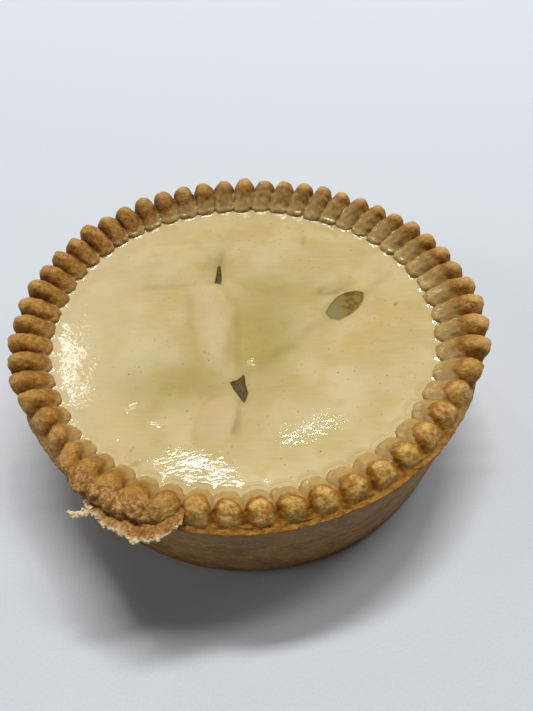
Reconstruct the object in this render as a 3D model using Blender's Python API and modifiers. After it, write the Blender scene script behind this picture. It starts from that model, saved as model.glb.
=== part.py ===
"""A hand-raised pork pie, 130 mm across its crimped rim: case, lid and rim baked as one solid.

The pie stands on its flat base at the origin with +Z up, and the torn flake of its rim lies
towards -Y. Lengths are in metres and angles in degrees, counted from +X towards +Y.
"""
import math
import random

import bmesh
import bpy

# The case: a flat foot with a rounded edge, and a wall that leans out to the rim
BASE_RADIUS = 0.0605
FOOT_ROUND = 0.0025
WALL_TOP_RADIUS = 0.0626
WALL_TOP_HEIGHT = 0.0352
WALL_BELLY = 0.0004
WALL_COLUMNS = 108

# The rim: a rounded bead, highest over its crest, with a thin lip that overhangs the wall
RIM_RADIUS = 0.0653
PIE_HEIGHT = 0.0409
RIM_DEPTH = 0.0066
LIP_HEIGHT = PIE_HEIGHT - RIM_DEPTH
CREST_INWARD = 0.0030
BACK_INWARD = 0.0066
TOE_INWARD = 0.0121
RIM_SECTION = (
    # in from the tips, down from the top
    (0.0017, RIM_DEPTH),
    (0.0010, 0.0047),
    (0.0000, 0.0024),
    (0.0006, 0.0008),
    (CREST_INWARD, 0.0000),
    (BACK_INWARD, 0.0014),
    (0.0098, 0.0046),
    (TOE_INWARD, 0.0068),
)

# The crimps: ridges pinched up side by side, with folds pressed between them
CRIMPS = 54
COLUMNS_PER_CRIMP = 6
RIDGE_FULLNESS = 2.2
FOLD_SHARE = 0.54
SCALLOP = 0.0014
SCALLOP_RISE = 0.0030
TOE_SCALLOP = 0.0018

# How far the baked pie departs from round: cosine and sine shares of its second and third waves
OUT_OF_ROUND = ((2, 0.0103, -0.0117), (3, 0.0079, 0.0017))
FOOT_OUT_OF_ROUND = 0.6

# How far the crimps drift from even spacing as the fingers work round, in degrees
CRIMP_DRIFT = ((0, -1.05, 0.0), (1, 1.59, 1.60), (2, 0.84, -0.19), (3, 0.55, -0.14))
CRIMP_UNEVENNESS = 0.10
CRIMP_SEED = 54

# The torn flake: a stretch of the lip, standing out past the rim at the front left
TEAR_START = 227.0
TEAR_FULL = (238.0, 248.0)
TEAR_END = 257.0
TEAR_REACH = 0.0038
TEAR_TOP = 0.0358
TEAR_SINK = 0.30

# The lid: sunk below the rim, a little off centre and sagging, with swells and hollows
LID_RADIUS = 0.0518
LID_HEIGHT = 0.0339
LID_SHIFT = -0.0011
LID_SAG = 0.0010
LID_COLUMNS = 81
LID_RINGS = 12
SWELLS = (
    # centre x and y, half length, half width, turn of the length from +X, rise
    (-0.0095, 0.0042, 0.0150, 0.0046, 88.0, 0.0012),
    (-0.0080, -0.0318, 0.0080, 0.0044, 72.0, 0.0011),
    (0.0050, -0.0038, 0.0170, 0.0085, 84.0, -0.0013),
    (-0.0280, 0.0072, 0.0150, 0.0090, 60.0, 0.0006),
    (-0.0210, 0.0302, 0.0150, 0.0070, -8.0, 0.0012),
    (0.0120, 0.0332, 0.0170, 0.0080, -12.0, 0.0009),
    (0.0100, 0.0162, 0.0090, 0.0045, -10.0, -0.0009),
    (-0.0080, 0.0292, 0.0080, 0.0035, 84.0, -0.0012),
    (0.0270, 0.0117, 0.0070, 0.0028, 20.0, -0.0009),
    (0.0290, -0.0168, 0.0150, 0.0090, 35.0, 0.0006),
    (-0.0270, -0.0248, 0.0120, 0.0060, -20.0, -0.0005),
)

# The vents: three cuts in the lid, each as centre x and y, length, width, turn and depth
VENTS = (
    ("slit", -0.0073, 0.0228, 0.0100, 0.0016, 83.0, 0.0045),
    ("eye", 0.0299, 0.0033, 0.0142, 0.0062, 37.0, 0.0030),
    ("notch", -0.0029, -0.0229, 0.0078, 0.0036, 110.0, 0.0045),
)
VENT_SIDES = 20
VENT_FLOOR_SHARE = 0.6
VENT_POINTEDNESS = 0.6
CUTTER_HEADROOM = 0.0050

CRUST_COLOUR = (0.42, 0.21, 0.07, 1.0)
CRUST_ROUGHNESS = 0.55
SHARP_ANGLE = 50.0
MERGE = 0.00001


def waves(terms, angle):
    """Adds up (order, cosine share, sine share) waves at an angle in degrees."""
    turn = math.radians(angle)
    return sum(c * math.cos(n * turn) + s * math.sin(n * turn) for n, c, s in terms)


def share(value, low, high):
    """How far a value lies from low to high, kept between 0 and 1."""
    return min(1.0, max(0.0, (value - low) / (high - low)))


def crimp_sizes():
    """The height of each crimp against the usual one, the same on every run."""
    draw = random.Random(CRIMP_SEED)
    return [1.0 + draw.uniform(-CRIMP_UNEVENNESS, CRIMP_UNEVENNESS) for _ in range(CRIMPS)]


def ridge_at(angle, sizes):
    """How far the crimps stand up at an even angle: 0 in a fold, about 1 on a crest."""
    turn = angle * CRIMPS / 360.0
    number = math.floor(turn + 0.5)
    across = 2.0 * abs(turn - number)
    return sizes[number % CRIMPS] * (1.0 - across ** RIDGE_FULLNESS)


def tear_at(angle):
    """How fully the flake is torn out at an angle: a long rise, a full stretch and a short fall."""
    return share(angle, TEAR_START, TEAR_FULL[0]) * share(angle, TEAR_END, TEAR_FULL[1])


def turned(section, columns):
    """Sweeps a section of (radius, height) points round +Z into an open sheet."""
    mesh = bpy.data.meshes.new("section")
    points = [(radius, 0.0, height) for radius, height in section]
    mesh.from_pydata(points, [(i, i + 1) for i in range(len(points) - 1)], [])
    guide = bpy.data.objects.new("section", mesh)
    bpy.context.scene.collection.objects.link(guide)
    screw = guide.modifiers.new("Turn", "SCREW")
    screw.axis = "Z"
    screw.steps = columns
    screw.render_steps = columns
    screw.use_merge_vertices = True
    screw.merge_threshold = MERGE
    ready = guide.evaluated_get(bpy.context.evaluated_depsgraph_get())
    sheet = bpy.data.meshes.new_from_object(ready)
    bpy.data.objects.remove(guide)
    return sheet


def rim_section():
    """The bead from the underside of its lip, over the crest, to its toe on the lid."""
    return [(RIM_RADIUS - inward, PIE_HEIGHT - down) for inward, down in RIM_SECTION]


def wall_section():
    """The outside of the case from just under the lip down to the flat foot."""
    middle = (0.5 * (BASE_RADIUS + WALL_TOP_RADIUS) + WALL_BELLY, 0.5 * (FOOT_ROUND + WALL_TOP_HEIGHT))
    section = [(WALL_TOP_RADIUS, WALL_TOP_HEIGHT), middle]
    for degrees in (90.0, 60.0, 30.0, 0.0):
        lean = math.radians(degrees)
        radius = BASE_RADIUS - FOOT_ROUND * (1.0 - math.sin(lean))
        section.append((radius, FOOT_ROUND * (1.0 - math.cos(lean))))
    return section


def lid_section():
    """The lid from its edge at the rim's toe to its middle."""
    return [(LID_RADIUS * (1.0 - i / LID_RINGS), LID_HEIGHT) for i in range(LID_RINGS + 1)]


def crimped(radius, height, angle, sizes):
    """Presses a point of the plain bead into the crimp that its even angle falls in."""
    press = 1.0 - ridge_at(angle, sizes)
    rise = height - LIP_HEIGHT
    inward = RIM_RADIUS - radius
    outer = share(inward, BACK_INWARD, 0.0) * share(rise, 0.0, SCALLOP_RISE)
    inner = share(inward, BACK_INWARD, TOE_INWARD)
    radius += press * (TOE_SCALLOP * inner - SCALLOP * outer)
    return radius, LIP_HEIGHT + rise * (1.0 - FOLD_SHARE * press)


def torn(radius, height, angle):
    """Draws the outer face of the bead out into the flake and lets its top sink."""
    tear = tear_at(angle)
    crest = RIM_RADIUS - CREST_INWARD
    if tear == 0.0 or radius < crest:
        return radius, height
    edge = RIM_RADIUS + TEAR_REACH
    target = edge + (crest - edge) * share(height, TEAR_TOP, PIE_HEIGHT)
    radius += tear * (target - radius)
    height -= tear * TEAR_SINK * max(0.0, height - TEAR_TOP)
    return radius, height


def lid_relief(x, y):
    """The rise of the lid's swells and hollows and its sag, at a place on the lid."""
    rise = -LID_SAG * max(0.0, 1.0 - (x * x + y * y) / LID_RADIUS ** 2)
    for centre_x, centre_y, length, width, turn, height in SWELLS:
        lean = math.radians(turn)
        along = ((x - centre_x) * math.cos(lean) + (y - centre_y) * math.sin(lean)) / length
        across = ((y - centre_y) * math.cos(lean) - (x - centre_x) * math.sin(lean)) / width
        rise += height * math.exp(-along * along - across * across)
    return rise * share(math.hypot(x, y), LID_RADIUS, 0.85 * LID_RADIUS)


def reshaped(mesh, shape):
    """Moves a turned sheet's points: shape takes radius, height and angle and gives the new place."""
    for vertex in mesh.vertices:
        x, y, height = vertex.co
        angle = math.degrees(math.atan2(y, x)) % 360.0
        vertex.co = shape(math.hypot(x, y), height, angle)


def placed(radius, height, angle, shift=0.0):
    """The point at a radius, a height and an angle, moved sideways by a shift."""
    turn = math.radians(angle)
    return radius * math.cos(turn) + shift, radius * math.sin(turn), height


def rim_shape(sizes):
    """The crimped and torn bead, as a function for reshaped()."""
    def shape(radius, height, angle):
        shift = LID_SHIFT * share(RIM_RADIUS - radius, CREST_INWARD, TOE_INWARD)
        radius, height = crimped(radius, height, angle, sizes)
        angle += waves(CRIMP_DRIFT, angle)
        radius *= 1.0 + waves(OUT_OF_ROUND, angle)
        radius, height = torn(radius, height, angle)
        return placed(radius, height, angle, shift)
    return shape


def wall_shape(radius, height, angle):
    """The wall, less out of round at its foot than at the rim."""
    amount = FOOT_OUT_OF_ROUND + (1.0 - FOOT_OUT_OF_ROUND) * share(height, 0.0, WALL_TOP_HEIGHT)
    return placed(radius * (1.0 + amount * waves(OUT_OF_ROUND, angle)), height, angle)


def lid_shape(radius, height, angle):
    """The lid's outline follows the rim's, and its surface rises and falls over the filling."""
    angle += waves(CRIMP_DRIFT, angle)
    radius *= 1.0 + waves(OUT_OF_ROUND, angle)
    x, y, height = placed(radius, height, angle, LID_SHIFT)
    return x, y, height + lid_relief(x, y)


def open_edges(body, low, high):
    """The open edges above the foot whose middles lie between two radii."""
    found = []
    for edge in body.edges:
        middle = (edge.verts[0].co + edge.verts[1].co) / 2.0
        if edge.is_boundary and middle.z > FOOT_ROUND and low < middle.xy.length < high:
            found.append(edge)
    return found


def baked_crust():
    """Joins the turned sheets of wall, rim and lid into one closed mesh."""
    wall = turned(wall_section(), WALL_COLUMNS)
    rim = turned(rim_section(), CRIMPS * COLUMNS_PER_CRIMP)
    lid = turned(lid_section(), LID_COLUMNS)
    reshaped(wall, wall_shape)
    reshaped(rim, rim_shape(crimp_sizes()))
    reshaped(lid, lid_shape)
    body = bmesh.new()
    for sheet in (wall, rim, lid):
        body.from_mesh(sheet)
        bpy.data.meshes.remove(sheet)
    bmesh.ops.remove_doubles(body, verts=body.verts, dist=MERGE)
    bead_middle = RIM_RADIUS - BACK_INWARD
    bmesh.ops.bridge_loops(body, edges=open_edges(body, 0.0, bead_middle))
    bmesh.ops.bridge_loops(body, edges=open_edges(body, bead_middle, 2.0 * RIM_RADIUS))
    bmesh.ops.holes_fill(body, edges=[edge for edge in body.edges if edge.is_boundary], sides=0)
    bmesh.ops.recalc_face_normals(body, faces=body.faces)
    mesh = bpy.data.meshes.new("crust")
    body.to_mesh(mesh)
    body.free()
    mesh.shade_smooth()
    mesh.set_sharp_from_angle(angle=math.radians(SHARP_ANGLE))
    return mesh


def vent_cutter(name, x, y, length, width, turn, depth):
    """A plug pointed at both ends and narrower at its floor, standing in the lid."""
    surface = LID_HEIGHT + lid_relief(x, y)
    plug = bmesh.new()
    tall = depth + CUTTER_HEADROOM
    bmesh.ops.create_cone(plug, cap_ends=True, segments=VENT_SIDES, radius1=VENT_FLOOR_SHARE,
                          radius2=1.0, depth=tall)
    for vertex in plug.verts:
        vertex.co.y *= 1.0 - VENT_POINTEDNESS * vertex.co.x ** 2
        vertex.co.x *= 0.5 * length
        vertex.co.y *= 0.5 * width
    mesh = bpy.data.meshes.new(name)
    plug.to_mesh(mesh)
    plug.free()
    cutter = bpy.data.objects.new(name, mesh)
    cutter.location = (x, y, surface - depth + 0.5 * tall)
    cutter.rotation_euler = (0.0, 0.0, math.radians(turn))
    cutter.hide_render = True
    cutter.display_type = "WIRE"
    return cutter


def crust_material():
    """Baked hot-water pastry, golden brown."""
    material = bpy.data.materials.new("baked pastry")
    material.use_nodes = True
    shader = material.node_tree.nodes["Principled BSDF"]
    shader.inputs["Base Color"].default_value = CRUST_COLOUR
    shader.inputs["Roughness"].default_value = CRUST_ROUGHNESS
    shader.inputs["Metallic"].default_value = 0.0
    return material


def main():
    for old in list(bpy.data.objects):
        bpy.data.objects.remove(old)
    parts = bpy.data.collections.new("pork pie")
    cutters = bpy.data.collections.new("cutters")
    bpy.context.scene.collection.children.link(parts)
    bpy.context.scene.collection.children.link(cutters)
    crust = bpy.data.objects.new("crust", baked_crust())
    crust.data.materials.append(crust_material())
    parts.objects.link(crust)
    for name, *place in VENTS:
        cutter = vent_cutter("vent_" + name, *place)
        cutters.objects.link(cutter)
        cut = crust.modifiers.new(name, "BOOLEAN")
        cut.operation = "DIFFERENCE"
        cut.solver = "EXACT"
        cut.object = cutter


main()
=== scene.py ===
# %% [markdown]
# # A hand-raised pork pie
#
# A pork pie is a deep round case of hot-water pastry, filled, lidded and pinched shut all round.
# The rim bakes brown, the sunken lid stays pale, and hot stock is poured in through the vents
# and sets to a clear jelly that also covers the lid. The plan of this lesson: load the packed
# solid as a frame, build case, rim and lid as fine meshes on the same sizes, then add the
# jelly, the torn edge and the loose crumbs, and last the light.

# %% Load the frame
import math
import random

import bmesh
import bpy
import numpy as np
from mathutils import Matrix, Vector, noise


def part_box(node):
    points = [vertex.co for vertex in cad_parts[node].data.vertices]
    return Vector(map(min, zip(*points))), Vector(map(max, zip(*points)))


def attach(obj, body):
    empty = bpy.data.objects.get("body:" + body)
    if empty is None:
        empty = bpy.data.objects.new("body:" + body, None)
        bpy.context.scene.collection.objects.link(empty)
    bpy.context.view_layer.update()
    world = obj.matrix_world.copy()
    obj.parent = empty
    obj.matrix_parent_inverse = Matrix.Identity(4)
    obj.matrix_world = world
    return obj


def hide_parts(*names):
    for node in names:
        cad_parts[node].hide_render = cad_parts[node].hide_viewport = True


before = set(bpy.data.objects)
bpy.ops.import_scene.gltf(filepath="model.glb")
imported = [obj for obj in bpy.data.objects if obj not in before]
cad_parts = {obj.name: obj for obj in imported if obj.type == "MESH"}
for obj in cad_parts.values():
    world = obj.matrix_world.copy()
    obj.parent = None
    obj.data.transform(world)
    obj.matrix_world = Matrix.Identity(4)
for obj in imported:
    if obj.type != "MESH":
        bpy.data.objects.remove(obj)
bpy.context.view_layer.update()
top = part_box("crust")[1]

# %% [markdown]
# ## Sizes
#
# Everything below is in metres and in the frame's own place, so a piece goes where its numbers
# say. The pie's few driving sizes come first: 54 crimps round a rim 130 mm wide, and the height
# that the frame gives. Angles count from +X towards +Y, and the side that faces us is -Y.

# %% Driving sizes
MM = 0.001
RIM_RADIUS = 65.3 * MM
CRIMPS = 54
BASE_RADIUS = 60.5 * MM
FOOT_ROUND = 2.5 * MM
WALL_TOP_RADIUS = 62.6 * MM
WALL_TOP_HEIGHT = 35.2 * MM
WALL_BELLY = 0.4 * MM
RIDGE_SWELL = 0.3 * MM
CREST_HEIGHT = top.z - RIDGE_SWELL
LIP_HEIGHT = CREST_HEIGHT - 6.6 * MM
LID_HEIGHT = CREST_HEIGHT - 7.0 * MM
LID_SHIFT = -1.1 * MM
OUT_OF_ROUND = ((2, 0.0103, -0.0117), (3, 0.0079, 0.0017))
FOOT_OUT_OF_ROUND = 0.6
CRIMP_DRIFT = ((0, -1.05, 0.0), (1, 1.59, 1.60), (2, 0.84, -0.19), (3, 0.55, -0.14))
print("crimp pitch in mm:", round(2000 * math.pi * RIM_RADIUS / CRIMPS, 2))

# %% [markdown]
# ## Small helpers
#
# A handful of plain functions does the arithmetic for every piece: slow waves round the rim, an
# eased ramp, a smooth line through a few points, and lumpy noise. They take whole arrays,
# because the skin of a pie has a few hundred thousand corners.

# %% Arithmetic for whole arrays
def waves(terms, angle):
    """Adds up (order, cosine share, sine share) waves at angles in radians."""
    return sum(c * np.cos(n * angle) + s * np.sin(n * angle) for n, c, s in terms)


def ramp(value, low, high):
    """How far values lie from low to high, kept between 0 and 1 and eased at both ends."""
    share = np.clip((value - low) / (high - low), 0.0, 1.0)
    return share * share * (3.0 - 2.0 * share)


def smooth_line(points, count):
    """A Catmull-Rom line through a few points, read at evenly spaced places."""
    points = np.array(points, float)
    ends = np.vstack([2 * points[0] - points[1], points, 2 * points[-1] - points[-2]])
    place = np.linspace(0.0, len(points) - 1.0, count)
    cell = np.minimum(place.astype(int), len(points) - 2)
    t = (place - cell)[:, None]
    a, b, c, d = (ends[cell + i] for i in range(4))
    return 0.5 * (2 * b + (c - a) * t + (2 * a - 5 * b + 4 * c - d) * t ** 2
                  + (3 * b - a - 3 * c + d) * t ** 3)


def lumps(points, size, octaves=3, seed=0.0):
    """Lumpy noise, mostly between -1 and 1, at an array of points, for lumps of a given size."""
    shift = Vector((17.3 * seed, -9.1 * seed, 4.7 * seed))
    return np.array([noise.fractal(Vector(p) / size + shift, 1.0, 2.0, octaves) for p in points])


# %% [markdown]
# ## Turning arrays into pieces
#
# Two kinds of mesh cover the whole pie. A ring is a grid that closes both ways, like the rim. A
# stack is a pile of circles of corners that starts and ends in a single point, like the case and
# the lid, and a circle may have twice or half the corners of the one before it. Both come out
# closed and facing outwards.

# %% Rings, stacks and painted numbers
def make_piece(name, points, faces):
    """A smooth mesh object from points and faces, with its faces turned outwards."""
    mesh = bpy.data.meshes.new(name)
    mesh.from_pydata(np.asarray(points).tolist(), [], faces)
    body = bmesh.new()
    body.from_mesh(mesh)
    bmesh.ops.recalc_face_normals(body, faces=body.faces)
    body.to_mesh(mesh)
    body.free()
    mesh.shade_smooth()
    piece = bpy.data.objects.new(name, mesh)
    bpy.context.scene.collection.objects.link(piece)
    print(name + ":", len(mesh.vertices), "corners")
    return piece


def paint(piece, name, values):
    """Keeps one number for each corner of a piece under a name, for the nodes to read."""
    layer = piece.data.attributes.new(name, "FLOAT", "POINT")
    layer.data.foreach_set("value", np.asarray(values, dtype=np.float32).ravel())


def painted(piece, name):
    """The numbers that a piece keeps under a name, as an array."""
    values = np.empty(len(piece.data.vertices), dtype=np.float32)
    piece.data.attributes[name].data.foreach_get("value", values)
    return values.astype(float)


def corners(piece):
    """All corners of a piece as an array."""
    flat = np.empty(3 * len(piece.data.vertices), dtype=np.float32)
    piece.data.vertices.foreach_get("co", flat)
    return flat.reshape(-1, 3).astype(float)


def put_corners(piece, points):
    """Moves all corners of a piece at once."""
    piece.data.vertices.foreach_set("co", points.astype(np.float32).ravel())
    piece.data.update()


def ring_faces(columns, rows):
    """Four-cornered faces of a grid that closes both ways; its corners run column by column."""
    faces = []
    for i in range(columns):
        j = (i + 1) % columns
        for row in range(rows):
            after = (row + 1) % rows
            faces.append((i * rows + row, j * rows + row, j * rows + after, i * rows + after))
    return faces


def circle_faces(first, many, second, few):
    """Faces between two circles of corners, where the second has as many, half as many or one."""
    if few == 1:
        return [(first + i, first + (i + 1) % many, second) for i in range(many)]
    faces = []
    for i in range(few):
        j = (i + 1) % few
        if few == many:
            faces.append((first + i, first + j, second + j, second + i))
        else:
            a, b, c = first + 2 * i, first + 2 * i + 1, first + (2 * i + 2) % many
            faces.extend(((a, b, second + i), (b, second + j, second + i), (b, c, second + j)))
    return faces


def stack_faces(counts):
    """Faces of a stack of circles of corners, laid end to end."""
    faces = []
    start = 0
    for here, there in zip(counts, counts[1:]):
        if here >= there:
            faces.extend(circle_faces(start, here, start + here, there))
        else:
            faces.extend(circle_faces(start + here, there, start, here))
        start += here
    return faces


# %% [markdown]
# ## One helper for every node tree
#
# Shader trees and Geometry Nodes trees are built the same way: add a node, set what it is, then
# feed each socket either a plain value or another node's output.

# %% Node helper
def add(tree, kind, sockets=None, **settings):
    """Adds a node to a tree, with its settings, and feeds its sockets with values or links."""
    node = tree.nodes.new(kind)
    for name, value in settings.items():
        setattr(node, name, value)
    for socket, value in (sockets or {}).items():
        if isinstance(value, bpy.types.NodeSocket):
            tree.links.new(value, node.inputs[socket])
        else:
            node.inputs[socket].default_value = value
    return node


def calc(tree, operation, first, second=0.0):
    """One step of arithmetic between two values or outputs."""
    return add(tree, "ShaderNodeMath", {0: first, 1: second}, operation=operation).outputs[0]


def linear(code):
    """An sRGB hex colour as the linear values that shaders want."""
    channels = [int(code[i:i + 2], 16) / 255.0 for i in (1, 3, 5)]
    return tuple(c / 12.92 if c <= 0.04045 else ((c + 0.055) / 1.055) ** 2.4 for c in channels) + (1.0,)


# %% [markdown]
# ## Geometry Nodes, kept as plain mesh
#
# A tree gets named inputs with sensible defaults. `grown` runs it on a piece with the values for
# that piece, keeps the finished mesh and takes the modifier off again, because everything after
# this step wants plain mesh.

# %% Geometry Nodes helpers
def start_tree(name, inputs):
    """A Geometry Nodes tree with a geometry in and out and the named inputs."""
    tree = bpy.data.node_groups.new(name, "GeometryNodeTree")
    tree.interface.new_socket("Geometry", in_out="OUTPUT", socket_type="NodeSocketGeometry")
    tree.interface.new_socket("Geometry", in_out="INPUT", socket_type="NodeSocketGeometry")
    for label, kind, value in inputs:
        socket = tree.interface.new_socket(label, in_out="INPUT", socket_type="NodeSocket" + kind)
        if value is not None:
            socket.default_value = value
    return tree, tree.nodes.new("NodeGroupInput").outputs


def end_tree(tree, geometry, material):
    """Ends a tree as every one here ends: instances made real, then their material."""
    real = add(tree, "GeometryNodeRealizeInstances", {"Geometry": geometry})
    dressed = add(tree, "GeometryNodeSetMaterial", {"Geometry": real.outputs[0], "Material": material})
    tree.links.new(dressed.outputs[0], tree.nodes.new("NodeGroupOutput").inputs[0])
    return tree


def named(tree, name):
    """The numbers painted on a mesh, inside a Geometry Nodes tree."""
    node = add(tree, "GeometryNodeInputNamedAttribute", {"Name": name}, data_type="FLOAT")
    return node.outputs["Attribute"]


def eased(tree, value, low, high, start=0.0, end=1.0, kind="LINEAR"):
    """A value carried from start to end while it runs from low to high."""
    node = add(tree, "ShaderNodeMapRange", {"Value": value, "From Min": low, "From Max": high,
               "To Min": start, "To Max": end}, interpolation_type=kind)
    return node.outputs[0]


def grown(piece, tree, values):
    """Runs a tree on a piece with some of its inputs set, and keeps the result as its mesh."""
    modifier = piece.modifiers.new(tree.name, "NODES")
    modifier.node_group = tree
    for item in tree.interface.items_tree:
        if item.item_type == "SOCKET" and item.in_out == "INPUT" and item.name in values:
            modifier[item.identifier] = values[item.name]
    ready = piece.evaluated_get(bpy.context.evaluated_depsgraph_get())
    mesh = bpy.data.meshes.new_from_object(ready)
    piece.modifiers.clear()
    before = piece.data
    piece.data = mesh
    bpy.data.meshes.remove(before)
    mesh.name = piece.name
    mesh.shade_smooth()
    print(piece.name, "after", tree.name + ":", len(mesh.polygons), "faces")
    return piece


# %% [markdown]
# ## Materials: what they share
#
# Pastry, jelly and crumb all need the same few moves: mix two colours by a pattern, stretch a
# noise to a real size in millimetres, read a number that the mesh keeps, and turn a pattern
# into a shallow bump. Everything reads the object's own coordinates, so no pattern can slide.

# %% Shader helpers
# A colour Mix node's sockets, by number, because its names repeat for each kind of data
FACTOR, FIRST, SECOND, MIXED = 0, 6, 7, 2


def new_material(name):
    """A material with its tree, its Principled shader and the piece's own coordinates."""
    material = bpy.data.materials.new(name)
    material.use_nodes = True
    tree = material.node_tree
    place = add(tree, "ShaderNodeTexCoord").outputs["Object"]
    return material, tree, tree.nodes["Principled BSDF"], place


def mixed(tree, factor, first, second, blend="MIX"):
    """One colour mixed into another; each is a hex colour or another node's output."""
    colours = [linear(c) if isinstance(c, str) else c for c in (first, second)]
    node = add(tree, "ShaderNodeMix", {FACTOR: factor, FIRST: colours[0], SECOND: colours[1]},
               data_type="RGBA", blend_type=blend)
    return node.outputs[MIXED]


def soft(tree, value, low, high, start=0.0, end=1.0):
    """A value eased smoothly from start to end while it runs from low to high."""
    return eased(tree, value, low, high, start, end, "SMOOTHSTEP")


def blotches(tree, place, size, detail=3.0, roughness=0.55, stretch=(1.0, 1.0, 1.0)):
    """Noise with lumps of a real size, drawn out along the axes by a stretch."""
    scale = tuple(1.0 / s for s in stretch)
    scaled = add(tree, "ShaderNodeMapping", {"Vector": place, "Scale": scale}).outputs[0]
    node = add(tree, "ShaderNodeTexNoise", {"Vector": scaled, "Scale": 1.0 / size,
               "Detail": detail, "Roughness": roughness})
    return node.outputs["Fac"]


def spots(tree, place, size, least, most):
    """Round spots, at most one to each cell of a given size: 1 in the middle, 0 outside."""
    node = add(tree, "ShaderNodeTexVoronoi", {"Vector": place, "Scale": 1.0 / size})
    return soft(tree, node.outputs["Distance"], least, most, 1.0, 0.0)


def kept(tree, name):
    """A number that the mesh keeps at its corners, inside a material."""
    return add(tree, "ShaderNodeAttribute", attribute_name=name).outputs["Fac"]


def bumped(tree, height, distance, strength, under=None):
    """A bump as deep as a distance in metres, laid over another one if there is one."""
    sockets = {"Height": height, "Distance": distance, "Strength": strength}
    if under is not None:
        sockets["Normal"] = under
    return add(tree, "ShaderNodeBump", sockets).outputs[0]
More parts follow.
